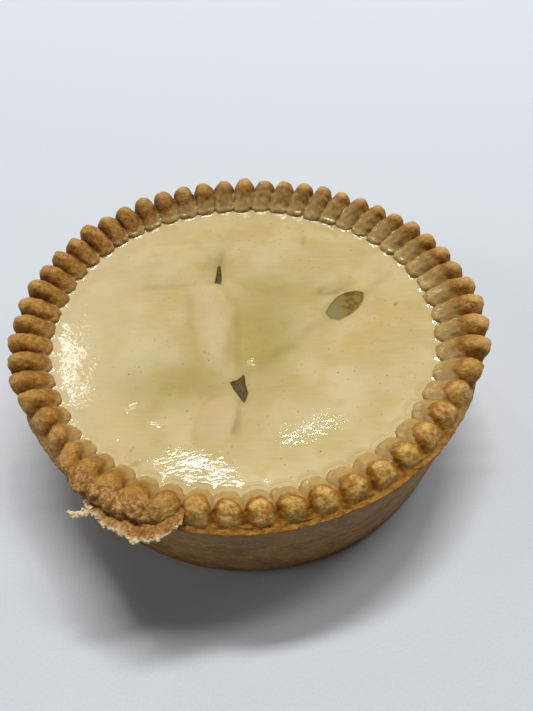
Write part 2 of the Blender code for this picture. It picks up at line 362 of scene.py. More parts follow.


# %% [markdown]
# ## Baked pastry on the rim
#
# Hot-water crust is flour, lard and water, and this one has no egg wash, so it is matt. The tops
# of the crimps brown in patches, and inside the rim the dough stays pale and damp. The folds are
# darker, partly from frying in their own fat and partly as painted shade, and the crests carry a
# painted highlight. The mesh says where a point is: `inward` runs from 0 at the tips to 1 at the
# toe, and `ridge` from 0 in a fold to 1 on a crest.

# %% Rim pastry
def rim_pastry():
    """Baked hot-water pastry: matt golden nubs, folds darker partly as painted shade, painted highlights on the
    crests, pale wet petals inside.
    """
    material, tree, shader, place = new_material("baked rim pastry")
    inward, ridge, tone, grease, torn, reach, fold_brown_and_shade, rise = (
        kept(tree, n) for n in ("inward", "ridge", "tone", "grease", "torn", "reach", "fold_brown_and_shade", "rise"))
    patch = blotches(tree, place, 2.0 * MM, detail=7.0, roughness=0.72)
    broad = blotches(tree, place, 7.0 * MM)
    fine = blotches(tree, place, 0.7 * MM, detail=4.0, roughness=0.7)
    mottle = blotches(tree, place, 1.5 * MM, detail=4.0, roughness=0.65)
    # Tan where it is dry, paler and darker in patches
    golden = mixed(tree, soft(tree, patch, 0.38, 0.62), "#AE762C", "#CE9A42")
    golden = mixed(tree, soft(tree, broad, 0.50, 0.70, 0.0, 0.6), golden, "#DBAE5C")
    golden = mixed(tree, soft(tree, fine, 0.50, 0.66, 0.0, 0.6), golden, "#86560E")
    golden = mixed(tree, soft(tree, fine, 0.46, 0.32, 0.0, 0.5), golden, "#E2BE7C")
    golden = mixed(tree, calc(tree, "MULTIPLY", tone, 0.4), golden, "#8A5A18")
    # Painted highlight: the crests near the tips are lightened, less where the folds are painted darkest
    proud = calc(tree, "MULTIPLY", soft(tree, ridge, 0.70, 0.98), soft(tree, inward, 0.16, 0.46, 0.6, 0.0))
    golden = mixed(tree, calc(tree, "MULTIPLY", proud, soft(tree, fold_brown_and_shade, 0.60, 0.95, 1.0, 0.35)), golden, "#DFB468")
    # The greasy front: fat carried the brown into the folds and left cream tops
    cream = calc(tree, "MULTIPLY", soft(tree, ridge, 0.55, 0.92), soft(tree, patch, 0.40, 0.56))
    fried = mixed(tree, cream, "#B07418", "#EABC68")
    fried = mixed(tree, soft(tree, mottle, 0.50, 0.64, 0.0, 0.55), fried, "#8A520E")
    band = soft(tree, rise, 0.8 * MM, 2.6 * MM, 0.95, 0.0)
    fried = mixed(tree, band, fried, mixed(tree, soft(tree, mottle, 0.4, 0.6), "#A66A10", "#BC8424"))
    # Painted shade: the outer side of the lip, low down, is greyed for the shade it stands in
    golden = mixed(tree, soft(tree, rise, 0.3 * MM, 1.2 * MM, 0.6, 0.0), golden, "#80623A")
    golden = mixed(tree, calc(tree, "MULTIPLY", grease, 0.9), golden, fried)
    # Folds, darker the deeper they are: partly browning in the fat, partly painted shade
    fold = calc(tree, "ADD", ridge, calc(tree, "MULTIPLY", calc(tree, "SUBTRACT", mottle, 0.5), 0.7))
    depth = calc(tree, "MULTIPLY", soft(tree, fold, 0.05, 0.96, 1.0, 0.0), fold_brown_and_shade)
    golden = mixed(tree, depth, golden, "#6C4208")
    # The brown halo where each nub dips to its petal, at a reach that differs round the pie
    wander = calc(tree, "MULTIPLY", calc(tree, "SUBTRACT", mottle, 0.5), 0.22)
    arch = calc(tree, "SUBTRACT", reach, calc(tree, "MULTIPLY", calc(tree, "SUBTRACT", 1.0, ridge), 0.20))
    edge = calc(tree, "ADD", calc(tree, "SUBTRACT", inward, arch), wander)
    halo = calc(tree, "MULTIPLY", soft(tree, edge, -0.24, -0.06), soft(tree, edge, -0.02, 0.08, 1.0, 0.0))
    golden = mixed(tree, calc(tree, "MULTIPLY", halo, 0.5), golden, "#804E0C")
    pale = mixed(tree, soft(tree, patch, 0.35, 0.65), "#AE8E56", "#C3A46A")
    # Painted shade in the folds between the petals
    pale = mixed(tree, soft(tree, ridge, 0.05, 0.45, 0.55, 0.0), pale, "#92713A")
    tanned = calc(tree, "SUBTRACT", 1.0, calc(tree, "MULTIPLY", grease, 0.8))
    pale = mixed(tree, calc(tree, "MULTIPLY", soft(tree, edge, 0.02, 0.30, 0.6, 0.0), tanned), pale, "#AC8448")
    sharp = calc(tree, "MULTIPLY", edge, calc(tree, "ADD", calc(tree, "MULTIPLY", grease, 2.5), 1.0))
    browned = soft(tree, sharp, -0.08, 0.10, 1.0, 0.0)
    crumb = mixed(tree, soft(tree, fine, 0.40, 0.62), "#A8722E", "#D6A864")
    crumb = mixed(tree, soft(tree, mottle, 0.42, 0.60, 0.0, 0.75), crumb, "#7E4A16")
    baked = mixed(tree, torn, mixed(tree, browned, pale, golden), crumb)
    tree.links.new(baked, shader.inputs["Base Color"])
    dry = soft(tree, edge, -0.06, 0.10, 0.55, 0.12)
    oily = calc(tree, "SUBTRACT", dry, calc(tree, "MULTIPLY", calc(tree, "MULTIPLY", grease, browned), 0.14))
    tree.links.new(oily, shader.inputs["Roughness"])
    shader.inputs["IOR"].default_value = 1.36
    crust = calc(tree, "MULTIPLY", browned, 0.9)
    pits = add(tree, "ShaderNodeBump", {"Height": fine, "Distance": 0.25 * MM, "Strength": crust}).outputs[0]
    knobs = add(tree, "ShaderNodeBump", {"Height": mottle, "Distance": 0.5 * MM, "Strength": crust,
                "Normal": pits}).outputs[0]
    tree.links.new(knobs, shader.inputs["Normal"])
    return material


# %% [markdown]
# ## Baked pastry on the case
#
# The wall baked against its own steam, duller and drier than the rim. Raising the dough drew it
# out sideways, so its streaks and low ripples lie level, and the wall turns greyer towards the
# lip.

# %% Case pastry
def case_pastry():
    """Baked hot-water pastry with level streaks: dull tan, greyer towards the lip."""
    material, tree, shader, place = new_material("baked case pastry")
    streak = blotches(tree, place, 2.0 * MM, detail=5.0, roughness=0.65, stretch=(3.0, 3.0, 1.0))
    patch = blotches(tree, place, 6.0 * MM, detail=4.0, stretch=(1.6, 1.6, 1.0))
    fine = blotches(tree, place, 0.7 * MM, detail=4.0, roughness=0.65, stretch=(2.5, 2.5, 1.0))
    height = add(tree, "ShaderNodeSeparateXYZ", {0: place}).outputs["Z"]
    colour = mixed(tree, soft(tree, streak, 0.36, 0.66), "#9A662A", "#B08646")
    colour = mixed(tree, soft(tree, patch, 0.45, 0.62, 0.0, 0.75), colour, "#8A5520")
    colour = mixed(tree, soft(tree, fine, 0.55, 0.75, 0.0, 0.5), colour, "#6E4A22")
    speck = blotches(tree, place, 0.9 * MM, detail=5.0, roughness=0.75, stretch=(1.6, 1.6, 1.0))
    colour = mixed(tree, soft(tree, speck, 0.52, 0.64, 0.0, 0.6), colour, "#B9A274")
    colour = mixed(tree, soft(tree, speck, 0.46, 0.36, 0.0, 0.6), colour, "#6A4418")
    greyer_towards_lip = soft(tree, height, 0.5 * LIP_HEIGHT, LIP_HEIGHT, 0.0, 0.5)
    colour = mixed(tree, greyer_towards_lip, colour, "#8F8056")
    tree.links.new(colour, shader.inputs["Base Color"])
    shader.inputs["Roughness"].default_value = 0.62
    shader.inputs["IOR"].default_value = 1.38
    ripples = bumped(tree, streak, 0.35 * MM, 0.4)
    tree.links.new(bumped(tree, fine, 0.15 * MM, 0.45, ripples), shader.inputs["Normal"])
    return material


# %% [markdown]
# ## The lid under its skin of jelly
#
# The lid is the same dough rolled thin, but it sat below the rim and under hot stock, so it
# hardly browned. A skin of jelly covers it all, and wrinkles as it sets: pastry below, a clear
# coat above. The coat gets its own bump, so the wrinkles glint without roughening the pastry.

# %% Lid pastry
def jelly_skin(tree, place):
    """The jelly's own surface: level, but leaning and wrinkled where the mesh says."""
    ruffle, lean = kept(tree, "ruffle"), kept(tree, "lean")
    wrinkle = blotches(tree, place, 0.9 * MM, detail=2.0, roughness=0.5, stretch=(1.5, 1.0, 1.0))
    slope = blotches(tree, place, 7.0 * MM, detail=1.0)
    level = add(tree, "ShaderNodeCombineXYZ", {"Y": calc(tree, "MULTIPLY", lean, -1.0), "Z": 1.0}).outputs[0]
    rolling = add(tree, "ShaderNodeBump", {"Height": slope, "Distance": 0.5 * MM, "Strength": ruffle,
                  "Normal": level}).outputs[0]
    return add(tree, "ShaderNodeBump", {"Height": wrinkle, "Distance": 0.20 * MM, "Strength": ruffle,
               "Normal": rolling}).outputs[0]


def lid_pastry():
    """Rolled pastry, pale and wet: faint rolling streaks under a clear, wrinkled jelly skin."""
    material, tree, shader, place = new_material("glazed lid pastry")
    turned = add(tree, "ShaderNodeMapping", {"Vector": place, "Rotation": (0.0, 0.0, math.radians(8.0))})
    streak = blotches(tree, turned.outputs[0], 0.8 * MM, detail=3.0, stretch=(9.0, 1.0, 1.0))
    cloud = blotches(tree, place, 15.0 * MM, detail=2.0)
    patch = blotches(tree, place, 4.5 * MM)
    swell, vent, ripple, shade, stain, meniscus = (
        kept(tree, n) for n in ("swell", "vent", "ripple", "shade", "stain", "meniscus"))
    side = add(tree, "ShaderNodeSeparateXYZ", {0: place}).outputs["X"]
    colour = mixed(tree, soft(tree, cloud, 0.35, 0.65), "#C4AC6C", "#D2BC84")
    colour = mixed(tree, soft(tree, patch, 0.45, 0.75, 0.0, 0.3), colour, "#BFA466")
    colour = mixed(tree, soft(tree, streak, 0.35, 0.70, 0.0, 0.3), colour, "#D6C08A")
    soaked = blotches(tree, place, 9.0 * MM, detail=3.0)
    colour = mixed(tree, soft(tree, soaked, 0.50, 0.68, 0.0, 0.55), colour, "#C4AC5E")
    colour = mixed(tree, soft(tree, swell, 0.15, 0.8, 0.0, 0.5), colour, "#CDB484")
    # Painted shade in the creases and along the edges of the tongues
    colour = mixed(tree, calc(tree, "MULTIPLY", shade, 0.8), colour, "#A2864A")
    colour = mixed(tree, spots(tree, place, 2.4 * MM, 0.03, 0.11), colour, "#9C8050")
    colour = mixed(tree, calc(tree, "MULTIPLY", ripple, 0.5), colour, "#94794A")
    # Painted sheen: paler towards the left edge, for the reflection of a window there
    colour = mixed(tree, soft(tree, side, -18.0 * MM, -50.0 * MM, 0.0, 0.5), colour, "#DDCA9C")
    colour = mixed(tree, stain, colour, "#A06A24")
    colour = mixed(tree, soft(tree, vent, 0.0, 0.6, 0.0, 0.75), colour, "#A5944A")
    tree.links.new(colour, shader.inputs["Base Color"])
    shader.inputs["Roughness"].default_value = 0.5
    shader.inputs["IOR"].default_value = 1.40
    shader.inputs["Coat Weight"].default_value = 1.0
    shader.inputs["Coat Roughness"].default_value = 0.03
    shader.inputs["Coat IOR"].default_value = 1.38
    tree.links.new(bumped(tree, streak, 0.06 * MM, 0.3), shader.inputs["Normal"])
    true_normal = add(tree, "ShaderNodeNewGeometry").outputs["Normal"]
    climbing = add(tree, "ShaderNodeMix", {FACTOR: meniscus, 4: jelly_skin(tree, place), 5: true_normal},
                   data_type="VECTOR").outputs[1]
    tree.links.new(climbing, shader.inputs["Coat Normal"])
    return material


# %% [markdown]
# ## Set jelly
#
# Pork jelly is gelatine set from stock: clear, faintly yellow, and glossy. A thick layer tints
# what is under it and a thin one doesn't, so the film takes its cover from its own depth, which
# the mesh keeps as `depth`. In the vents it is deep enough to look dark.

# %% Jelly materials
def jelly_film():
    """Clear set jelly in the hollows of the lid: yellow by depth, and smooth as water."""
    material, tree, shader, place = new_material("clear set jelly")
    tint = blotches(tree, place, 12.0 * MM, detail=2.0)
    tree.links.new(mixed(tree, soft(tree, tint, 0.35, 0.65), "#D2BC5C", "#C6B050"), shader.inputs["Base Color"])
    shader.inputs["Roughness"].default_value = 0.03
    shader.inputs["IOR"].default_value = 1.38
    tree.links.new(soft(tree, kept(tree, "depth"), 0.0, 2.4 * MM, 0.0, 0.38), shader.inputs["Alpha"])
    tree.links.new(jelly_skin(tree, place), shader.inputs["Normal"])
    return material


def vent_jelly_material():
    """Deep jelly over the meat: dark olive, with amber strands where the filling comes near."""
    material, tree, shader, place = new_material("dark set jelly")
    strand = blotches(tree, place, 2.6 * MM, detail=3.0)
    grit = blotches(tree, place, 0.7 * MM, detail=3.0)
    amber = kept(tree, "amber")
    side = add(tree, "ShaderNodeSeparateXYZ", {0: place}).outputs["X"]
    deep = mixed(tree, soft(tree, grit, 0.4, 0.65), "#4C4224", "#6C5E34")
    deep = mixed(tree, soft(tree, side, 4.0 * MM, 20.0 * MM), deep, "#8C8050")
    meat = mixed(tree, soft(tree, strand, 0.38, 0.60), "#6A5220", "#98762E")
    meat = mixed(tree, soft(tree, grit, 0.5, 0.7, 0.0, 0.5), meat, "#5A4A20")
    inside = mixed(tree, amber, deep, meat)
    vent = kept(tree, "vent")
    near = mixed(tree, soft(tree, vent, 0.30, 0.60), "#B5A158", "#877840")
    hollow = soft(tree, vent, 0.45, 0.85)
    tree.links.new(mixed(tree, hollow, near, inside), shader.inputs["Base Color"])
    shader.inputs["Roughness"].default_value = 0.5
    shader.inputs["IOR"].default_value = 1.20
    tree.links.new(bumped(tree, strand, 0.4 * MM, 0.4), shader.inputs["Normal"])
    return material


# %% [markdown]
# ## Crumb and fleck
#
# Where pastry breaks it shows its inside: pale, dry and flaky, a little toasted at the edges.
# The brown flecks on the lid are bits of bran and meat, and soak up light.

# %% Crumb materials
def broken_pastry():
    """The broken inside of baked pastry: pale dry crumb with toasted edges."""
    material, tree, shader, place = new_material("broken pastry crumb")
    toast = kept(tree, "toast")
    grit = blotches(tree, place, 0.7 * MM, detail=4.0, roughness=0.65)
    patch = blotches(tree, place, 2.2 * MM)
    fresh = mixed(tree, soft(tree, grit, 0.38, 0.62), "#D9C090", "#EBDDB8")
    baked = mixed(tree, soft(tree, grit, 0.40, 0.62), "#9E6A28", "#C6924A")
    baked = mixed(tree, soft(tree, patch, 0.42, 0.62, 0.0, 0.6), baked, "#845014")
    tree.links.new(mixed(tree, toast, fresh, baked), shader.inputs["Base Color"])
    shader.inputs["Roughness"].default_value = 0.75
    shader.inputs["IOR"].default_value = 1.45
    tree.links.new(bumped(tree, grit, 0.3 * MM, 0.7), shader.inputs["Normal"])
    return material


def bran_fleck():
    """Bits of bran and browned meat: dark, dull and unevenly toasted."""
    material, tree, shader, place = new_material("toasted bran")
    grit = blotches(tree, place, 1.5 * MM)
    tree.links.new(mixed(tree, soft(tree, grit, 0.35, 0.65), "#7A5A34", "#9C7C4C"), shader.inputs["Base Color"])
    shader.inputs["Roughness"].default_value = 0.6
    return material


# %% [markdown]
# ## The camera
#
# We look down on the pie at about 50 degrees, close, through the wide lens of a telephone. The
# camera is made before the pieces, so that each step can be judged from where it will be seen.

# %% Camera
CAMERA_PLACE = Vector((0.0, -107.25, 146.03)) * MM
CAMERA_AIM = Vector((4.83, -12.75, 33.0)) * MM
CAMERA_ROLL = math.radians(-2.907)
CAMERA_LENS = 27.04

camera = bpy.data.objects.new("camera", bpy.data.cameras.new("camera"))
bpy.context.scene.collection.objects.link(camera)
camera.data.lens = CAMERA_LENS
camera.data.sensor_width = 36.0
camera.data.clip_start = 0.01
facing = (CAMERA_AIM - CAMERA_PLACE).to_track_quat("-Z", "Y").to_matrix().to_4x4()
camera.matrix_world = Matrix.Translation(CAMERA_PLACE) @ facing @ Matrix.Rotation(CAMERA_ROLL, 4, "Z")
bpy.context.scene.camera = camera

# %% [markdown]
# ## How the pie departs from a turned shape
#
# Nothing made by hand is round. Two slow waves push the rim out of round, and four more let the
# crimps drift as the fingers work their way along. Every piece that meets the rim takes its
# outline from the same function, so that they stay together.

# %% Places round the pie
def place_round(turn, radius, shift=0.0, amount=1.0):
    """X and Y at a place round the pie, given in crimps, and at a radius before it went oval."""
    even = 2.0 * np.pi * turn / CRIMPS
    angle = even + np.radians(waves(CRIMP_DRIFT, even))
    radius = radius * (1.0 + amount * waves(OUT_OF_ROUND, angle))
    return radius * np.cos(angle) + shift, radius * np.sin(angle)


crimp_draw = random.Random(CRIMPS)
CRIMP_SIZES = np.array([1.0 + crimp_draw.uniform(-0.14, 0.10) for _ in range(CRIMPS)])
CRIMP_TONES = np.array([crimp_draw.random() for _ in range(CRIMPS)])
RIDGE_FULLNESS = 2.5


def ridge_at(turn, fullness=RIDGE_FULLNESS):
    """How far the crimps stand up round the pie: 0 in a fold, about 1 on a crest."""
    nearest = np.floor(turn + 0.5)
    across = 2.0 * np.abs(turn - nearest)
    return CRIMP_SIZES[nearest.astype(int) % CRIMPS] * (1.0 - across ** fullness)


# %% [markdown]
# ## The rim before the fingers
#
# The rim is where case and lid are pressed together: a bead of dough with a thin lip outside and
# a toe that lies on the lid. A bevelled curve would give it one section all round, but this one
# is torn on one side, so it is a ring of sections. At the front they ease into a flatter one,
# where low knobs of dough sit back from a ledge. Each corner remembers which crimp it belongs to
# and how far in it sits.

# %% Plain bead
COLUMNS_PER_CRIMP = 24
BEAD_ROWS = 46
BEAD_SECTION = (
    # in from the tips, down from the crest
    (1.7, 6.6), (1.5, 5.6), (0.7, 4.0), (0.0, 2.2), (0.5, 0.8), (2.4, 0.0), (4.8, 0.3), (6.8, 1.5),
    (8.4, 3.3), (10.2, 4.9), (11.5, 5.7), (12.1, 7.2),
)
FRONT_SECTION = (
    # the same corners where the rim was pressed flatter over a ledge
    (1.4, 6.6), (2.1, 6.2), (2.7, 5.7), (3.0, 4.7), (3.7, 3.4), (4.9, 2.4), (6.2, 1.9), (7.5, 2.2),
    (8.7, 3.4), (10.2, 4.9), (11.5, 5.7), (12.1, 7.2),
)
BEAD_UNDERSIDE = ((12.7, 9.2), (9.0, 10.1), (5.0, 9.6), (3.2, 6.7))
CREST_INWARD, BACK_INWARD, TOE_INWARD = 3.0 * MM, 6.8 * MM, 12.1 * MM


TEAR_START, TEAR_FULL_FROM, TEAR_FULL_TO, TEAR_END = 219.0, 232.0, 246.0, 254.0


def plain_bead():
    """The ring of sections, with what the crimping and the colours need to know."""
    section, flatter = (np.vstack([smooth_line(line, BEAD_ROWS), BEAD_UNDERSIDE]) * MM
                        for line in (BEAD_SECTION, FRONT_SECTION))
    columns = CRIMPS * COLUMNS_PER_CRIMP
    turn = np.repeat(np.arange(columns) / COLUMNS_PER_CRIMP, len(section))
    inward = np.tile(section[:, 0], columns)
    height = CREST_HEIGHT - np.tile(section[:, 1], columns)
    shift = LID_SHIFT * np.clip((inward - CREST_INWARD) / (TOE_INWARD - CREST_INWARD), 0.0, 1.0)
    x, y = place_round(turn, RIM_RADIUS - inward, shift)
    angle = np.degrees(np.arctan2(y, x)) % 360.0
    front = ramp(angle, 194.0, 214.0) * ramp(angle, 342.0, 322.0)
    merged = ramp(angle, TEAR_START, TEAR_FULL_FROM) * ramp(angle, TEAR_END, TEAR_FULL_TO)
    change = np.tile(flatter - section, (columns, 1)) * (front * (1.0 - merged))[:, None]
    ledge = 1.0 - change[:, 0] / RIM_RADIUS
    height = height - change[:, 1]
    rise = height - LIP_HEIGHT
    points = np.stack([x * ledge, y * ledge, height], 1)
    bead = make_piece("crimped_rim", points, ring_faces(columns, len(section)))
    number = np.floor(turn + 0.5).astype(int) % CRIMPS
    paint(bead, "turn", turn)
    paint(bead, "inward", inward / TOE_INWARD)
    paint(bead, "crimp_size", CRIMP_SIZES[number])
    paint(bead, "tone", CRIMP_TONES[number])
    shown = np.tile(np.arange(len(section)) < BEAD_ROWS, columns).astype(float)
    paint(bead, "shown", shown)
    lip_only = ramp(rise, 1.8 * MM, 0.6 * MM) * ramp(inward, 8.0 * MM, 4.0 * MM)
    firm = (1.0 - 0.85 * front * lip_only) * (1.0 - 0.25 * front * ramp(inward, 8.0 * MM, 4.0 * MM))
    paint(bead, "pressed", shown * firm * (1.0 - 0.6 * merged * ramp(inward, 8.0 * MM, 4.0 * MM)))
    return bead


rim = plain_bead()

# %% [markdown]
# ## Crimping it with Geometry Nodes
#
# Thumb and finger pinch the bead once every 7.5 mm. As a rule that is short: take the distance
# from the nearest crest, raise it to a power for a round ridge with a sharp fold, and press the
# bead down and in by what is left. Towards the toe the power grows, which squares the ridges off
# into petals. The tree does this to the whole bead at once, and writes each ridge's height down
# for the material.

# %% Crimp tree
def crimp_tree():
    """Presses a plain bead into ridges and folds."""
    tree, given = start_tree("crimps", (
        ("Ridge fullness", "Float", RIDGE_FULLNESS), ("Petal fullness", "Float", 3.4),
        ("Fold share", "Float", 0.56), ("Petal fold share", "Float", 0.26), ("Tip scallop", "Float", 1.4 * MM), ("Toe scallop", "Float", 1.8 * MM),
        ("Back scallop", "Float", 1.5 * MM),
        ("Lip height", "Float", LIP_HEIGHT), ("Material", "Material", None)))
    turn = named(tree, "turn")
    inward = named(tree, "inward")
    inner = eased(tree, inward, BACK_INWARD / TOE_INWARD, 1.0)
    nearest = calc(tree, "FLOOR", calc(tree, "ADD", turn, 0.5))
    across = calc(tree, "MULTIPLY", calc(tree, "ABSOLUTE", calc(tree, "SUBTRACT", turn, nearest)), 2.0)
    squarer = calc(tree, "SUBTRACT", given["Petal fullness"], given["Ridge fullness"])
    fullness = calc(tree, "ADD", given["Ridge fullness"], calc(tree, "MULTIPLY", squarer, inner))
    rounded = calc(tree, "SUBTRACT", 1.0, calc(tree, "POWER", across, fullness))
    ridge = calc(tree, "MULTIPLY", rounded, named(tree, "crimp_size"))
    press = calc(tree, "MULTIPLY", calc(tree, "SUBTRACT", 1.0, ridge), named(tree, "pressed"))
    place = add(tree, "GeometryNodeInputPosition").outputs[0]
    axes = add(tree, "ShaderNodeSeparateXYZ", {0: place}).outputs
    rise = calc(tree, "SUBTRACT", axes["Z"], given["Lip height"])
    outer = calc(tree, "MULTIPLY", eased(tree, inward, BACK_INWARD / TOE_INWARD, 0.0),
                 eased(tree, rise, 0.0, 3.0 * MM))
    back = calc(tree, "MULTIPLY", eased(tree, inward, CREST_INWARD / TOE_INWARD, BACK_INWARD / TOE_INWARD),
                eased(tree, inward, 1.0, BACK_INWARD / TOE_INWARD))
    scallop = calc(tree, "ADD", calc(tree, "MULTIPLY", given["Toe scallop"], inner),
                   calc(tree, "MULTIPLY", given["Back scallop"], back))
    pull = calc(tree, "SUBTRACT", scallop, calc(tree, "MULTIPLY", given["Tip scallop"], outer))
    level = add(tree, "ShaderNodeCombineXYZ", {"X": axes["X"], "Y": axes["Y"]}).outputs[0]
    outward = add(tree, "ShaderNodeVectorMath", {0: level}, operation="NORMALIZE").outputs[0]
    sideways = add(tree, "ShaderNodeVectorMath", {0: outward, "Scale": calc(tree, "MULTIPLY", pull, press)},
                   operation="SCALE").outputs[0]
    petal = eased(tree, inward, 4.5 * MM / TOE_INWARD, 9.0 * MM / TOE_INWARD)
    shallower = calc(tree, "MULTIPLY", calc(tree, "SUBTRACT", given["Petal fold share"], given["Fold share"]), petal)
    share = calc(tree, "ADD", given["Fold share"], shallower)
    sunk = calc(tree, "MULTIPLY", calc(tree, "MULTIPLY", rise, share), press)
    down = add(tree, "ShaderNodeCombineXYZ", {"Z": calc(tree, "MULTIPLY", sunk, -1.0)}).outputs[0]
    offset = add(tree, "ShaderNodeVectorMath", {0: sideways, 1: down}, operation="ADD").outputs[0]
    moved = add(tree, "GeometryNodeSetPosition", {"Geometry": given["Geometry"], "Offset": offset})
    noted = add(tree, "GeometryNodeStoreNamedAttribute", {"Geometry": moved.outputs[0], "Name": "ridge",
                "Value": calc(tree, "SUBTRACT", 1.0, press)}, data_type="FLOAT", domain="POINT")
    return end_tree(tree, noted.outputs[0], given["Material"])


rim_finish = rim_pastry()
grown(rim, crimp_tree(), {"Material": rim_finish})

# %% [markdown]
# ## The torn stretch
#
# At the front left the outer halves of six crimps were torn when the pie left its tin. What is
# left of them is lower and rougher, and the layer below juts out. So the bead is cut back here:
# its lip is lifted off the layer below, its outside wanders in and out, and it is painted as
# crumb. How fully a place is torn rises slowly from one end and falls fast at the other.

# %% Tear the rim


def tear_at(points):
    """How fully the rim is torn at an array of points, from 0 to 1."""
    angle = np.degrees(np.arctan2(points[:, 1], points[:, 0])) % 360.0
    return ramp(angle, TEAR_START, TEAR_FULL_FROM) * ramp(angle, TEAR_END, TEAR_FULL_TO)


def tear_rim(bead):
    """Lifts the lip, sinks the tops and roughens the outside where the rim is torn."""
    points = corners(bead)
    inward = painted(bead, "inward") * TOE_INWARD
    shown = painted(bead, "shown")
    tear = tear_at(points) * ramp(inward, 7.0 * MM, 3.0 * MM) * shown
    ragged = lumps(points, 2.6 * MM, 4)
    chunky = lumps(points, 5.0 * MM, 2, seed=1.0)
    radius = np.hypot(points[:, 0], points[:, 1])
    lifted = ramp(points[:, 2], LIP_HEIGHT + 3.5 * MM, LIP_HEIGHT)
    points[:, 2] += tear * (0.7 * MM * lifted - 0.9 * MM * (1.0 - lifted) + 0.6 * MM * ragged)
    pull = tear * (0.5 * MM + 0.5 * MM * ragged + 0.7 * MM * chunky)
    points[:, :2] *= (1.0 + pull / radius)[:, None]
    put_corners(bead, points)
    paint(bead, "torn", ramp(tear + 0.35 * ragged, 0.45, 0.75) * tear ** 0.3)


tear_rim(rim)
print("torn corners:", int((painted(rim, "torn") > 0.5).sum()))

# %% [markdown]
# ## How brown, how greasy
#
# The oven and the fat didn't treat the rim evenly. The front sat in its own fat and fried to
# golden orange with cream tops, the left and back browned dry. How dark the folds are painted,
# partly browning and partly painted shade, also changes round the rim. These are slow changes
# round the rim, so each is a ramp of the angle that is painted on the mesh for the material.

# %% Paint the rim
BROWN_REACH = (
    # angle, how far in the brown goes, how dark the folds are painted as browning and shade
    (0.0, 0.58, 0.50), (50.0, 0.46, 0.50), (88.0, 0.56, 0.70), (112.0, 0.72, 0.85), (135.0, 0.96, 1.00),
    (185.0, 0.96, 0.85), (205.0, 0.90, 0.80), (225.0, 0.78, 0.75), (270.0, 0.74, 0.48), (310.0, 0.72, 0.48),
    (340.0, 0.64, 0.55),
)


def paint_rim(bead):
    """Paints how greasy and how brown the rim is, how dark its folds are painted as browning and shade, and the rise
    above the lip.
    """
    points = corners(bead)
    angle = np.degrees(np.arctan2(points[:, 1], points[:, 0])) % 360.0
    paint(bead, "grease", ramp(angle, 246.0, 262.0) * ramp(angle, 350.0, 300.0))
    at, reach, fold_brown_and_shade = np.array(BROWN_REACH).T
    paint(bead, "reach", np.interp(angle, at, reach, period=360.0))
    paint(bead, "fold_brown_and_shade", np.interp(angle, at, fold_brown_and_shade, period=360.0))
    paint(bead, "rise", points[:, 2] - LIP_HEIGHT)


paint_rim(rim)

# %% [markdown]
# ## A baked skin, with Geometry Nodes
#
# Steam lifts the surface of hot-water crust into low blisters, and pops some of them to pits. Low
# relief of this kind belongs in the mesh where it breaks up a highlight or an outline. One tree
# serves the rim and the case: it moves each point along its normal by noise, less the pits.

# %% Baked skin tree
def skin_tree():
    """Raises low blisters and digs small pits along a surface's own normals."""
    tree, given = start_tree("baked skin", (
        ("Blister size", "Float", 2.4 * MM), ("Blister height", "Float", 0.2 * MM), ("Stretch", "Vector", None),
        ("Pit size", "Float", 2.0 * MM), ("Pit depth", "Float", 0.15 * MM), ("Material", "Material", None)))
    place = add(tree, "GeometryNodeInputPosition").outputs[0]
    drawn = add(tree, "ShaderNodeVectorMath", {0: place, 1: given["Stretch"]}, operation="DIVIDE").outputs[0]
    fineness = calc(tree, "DIVIDE", 1.0, given["Blister size"])
    blisters = add(tree, "ShaderNodeTexNoise", {"Vector": drawn, "Scale": fineness, "Detail": 3.0})
    lift = calc(tree, "MULTIPLY", eased(tree, blisters.outputs["Fac"], 0.25, 0.75, -1.0, 1.0),
                given["Blister height"])
    cells = add(tree, "ShaderNodeTexVoronoi", {"Vector": place, "Scale": calc(tree, "DIVIDE", 1.0, given["Pit size"])})
    hole = eased(tree, cells.outputs["Distance"], 0.05, 0.30, 1.0, 0.0, "SMOOTHSTEP")
    dig = calc(tree, "MULTIPLY", hole, given["Pit depth"])
    amount = calc(tree, "MULTIPLY", calc(tree, "SUBTRACT", lift, dig), named(tree, "shown"))
    normal = add(tree, "GeometryNodeInputNormal").outputs[0]
    offset = add(tree, "ShaderNodeVectorMath", {0: normal, "Scale": amount}, operation="SCALE").outputs[0]
    moved = add(tree, "GeometryNodeSetPosition", {"Geometry": given["Geometry"], "Offset": offset})
    return end_tree(tree, moved.outputs[0], given["Material"])


EVEN = (1.0, 1.0, 1.0)
baked_skin = skin_tree()
grown(rim, baked_skin, {"Stretch": EVEN, "Blister height": 0.26 * MM, "Material": rim_finish})
grown(rim, baked_skin, {"Stretch": EVEN, "Blister size": 6.0 * MM, "Blister height": 0.32 * MM,
                        "Pit depth": 0.0, "Material": rim_finish})

# %% [markdown]
# ## The case
#
# The case is a turned shape: a flat foot with a rounded edge and a wall that leans out to the
# rim. A Screw modifier could turn it, but a stack of circles also gives a closed base with few
# corners in its middle. The wall is as oval as the rim at its top and less so at its foot.

# %% Case
CASE_COLUMNS = 864
WALL_ROWS = 74
FOOT_ROWS = 8


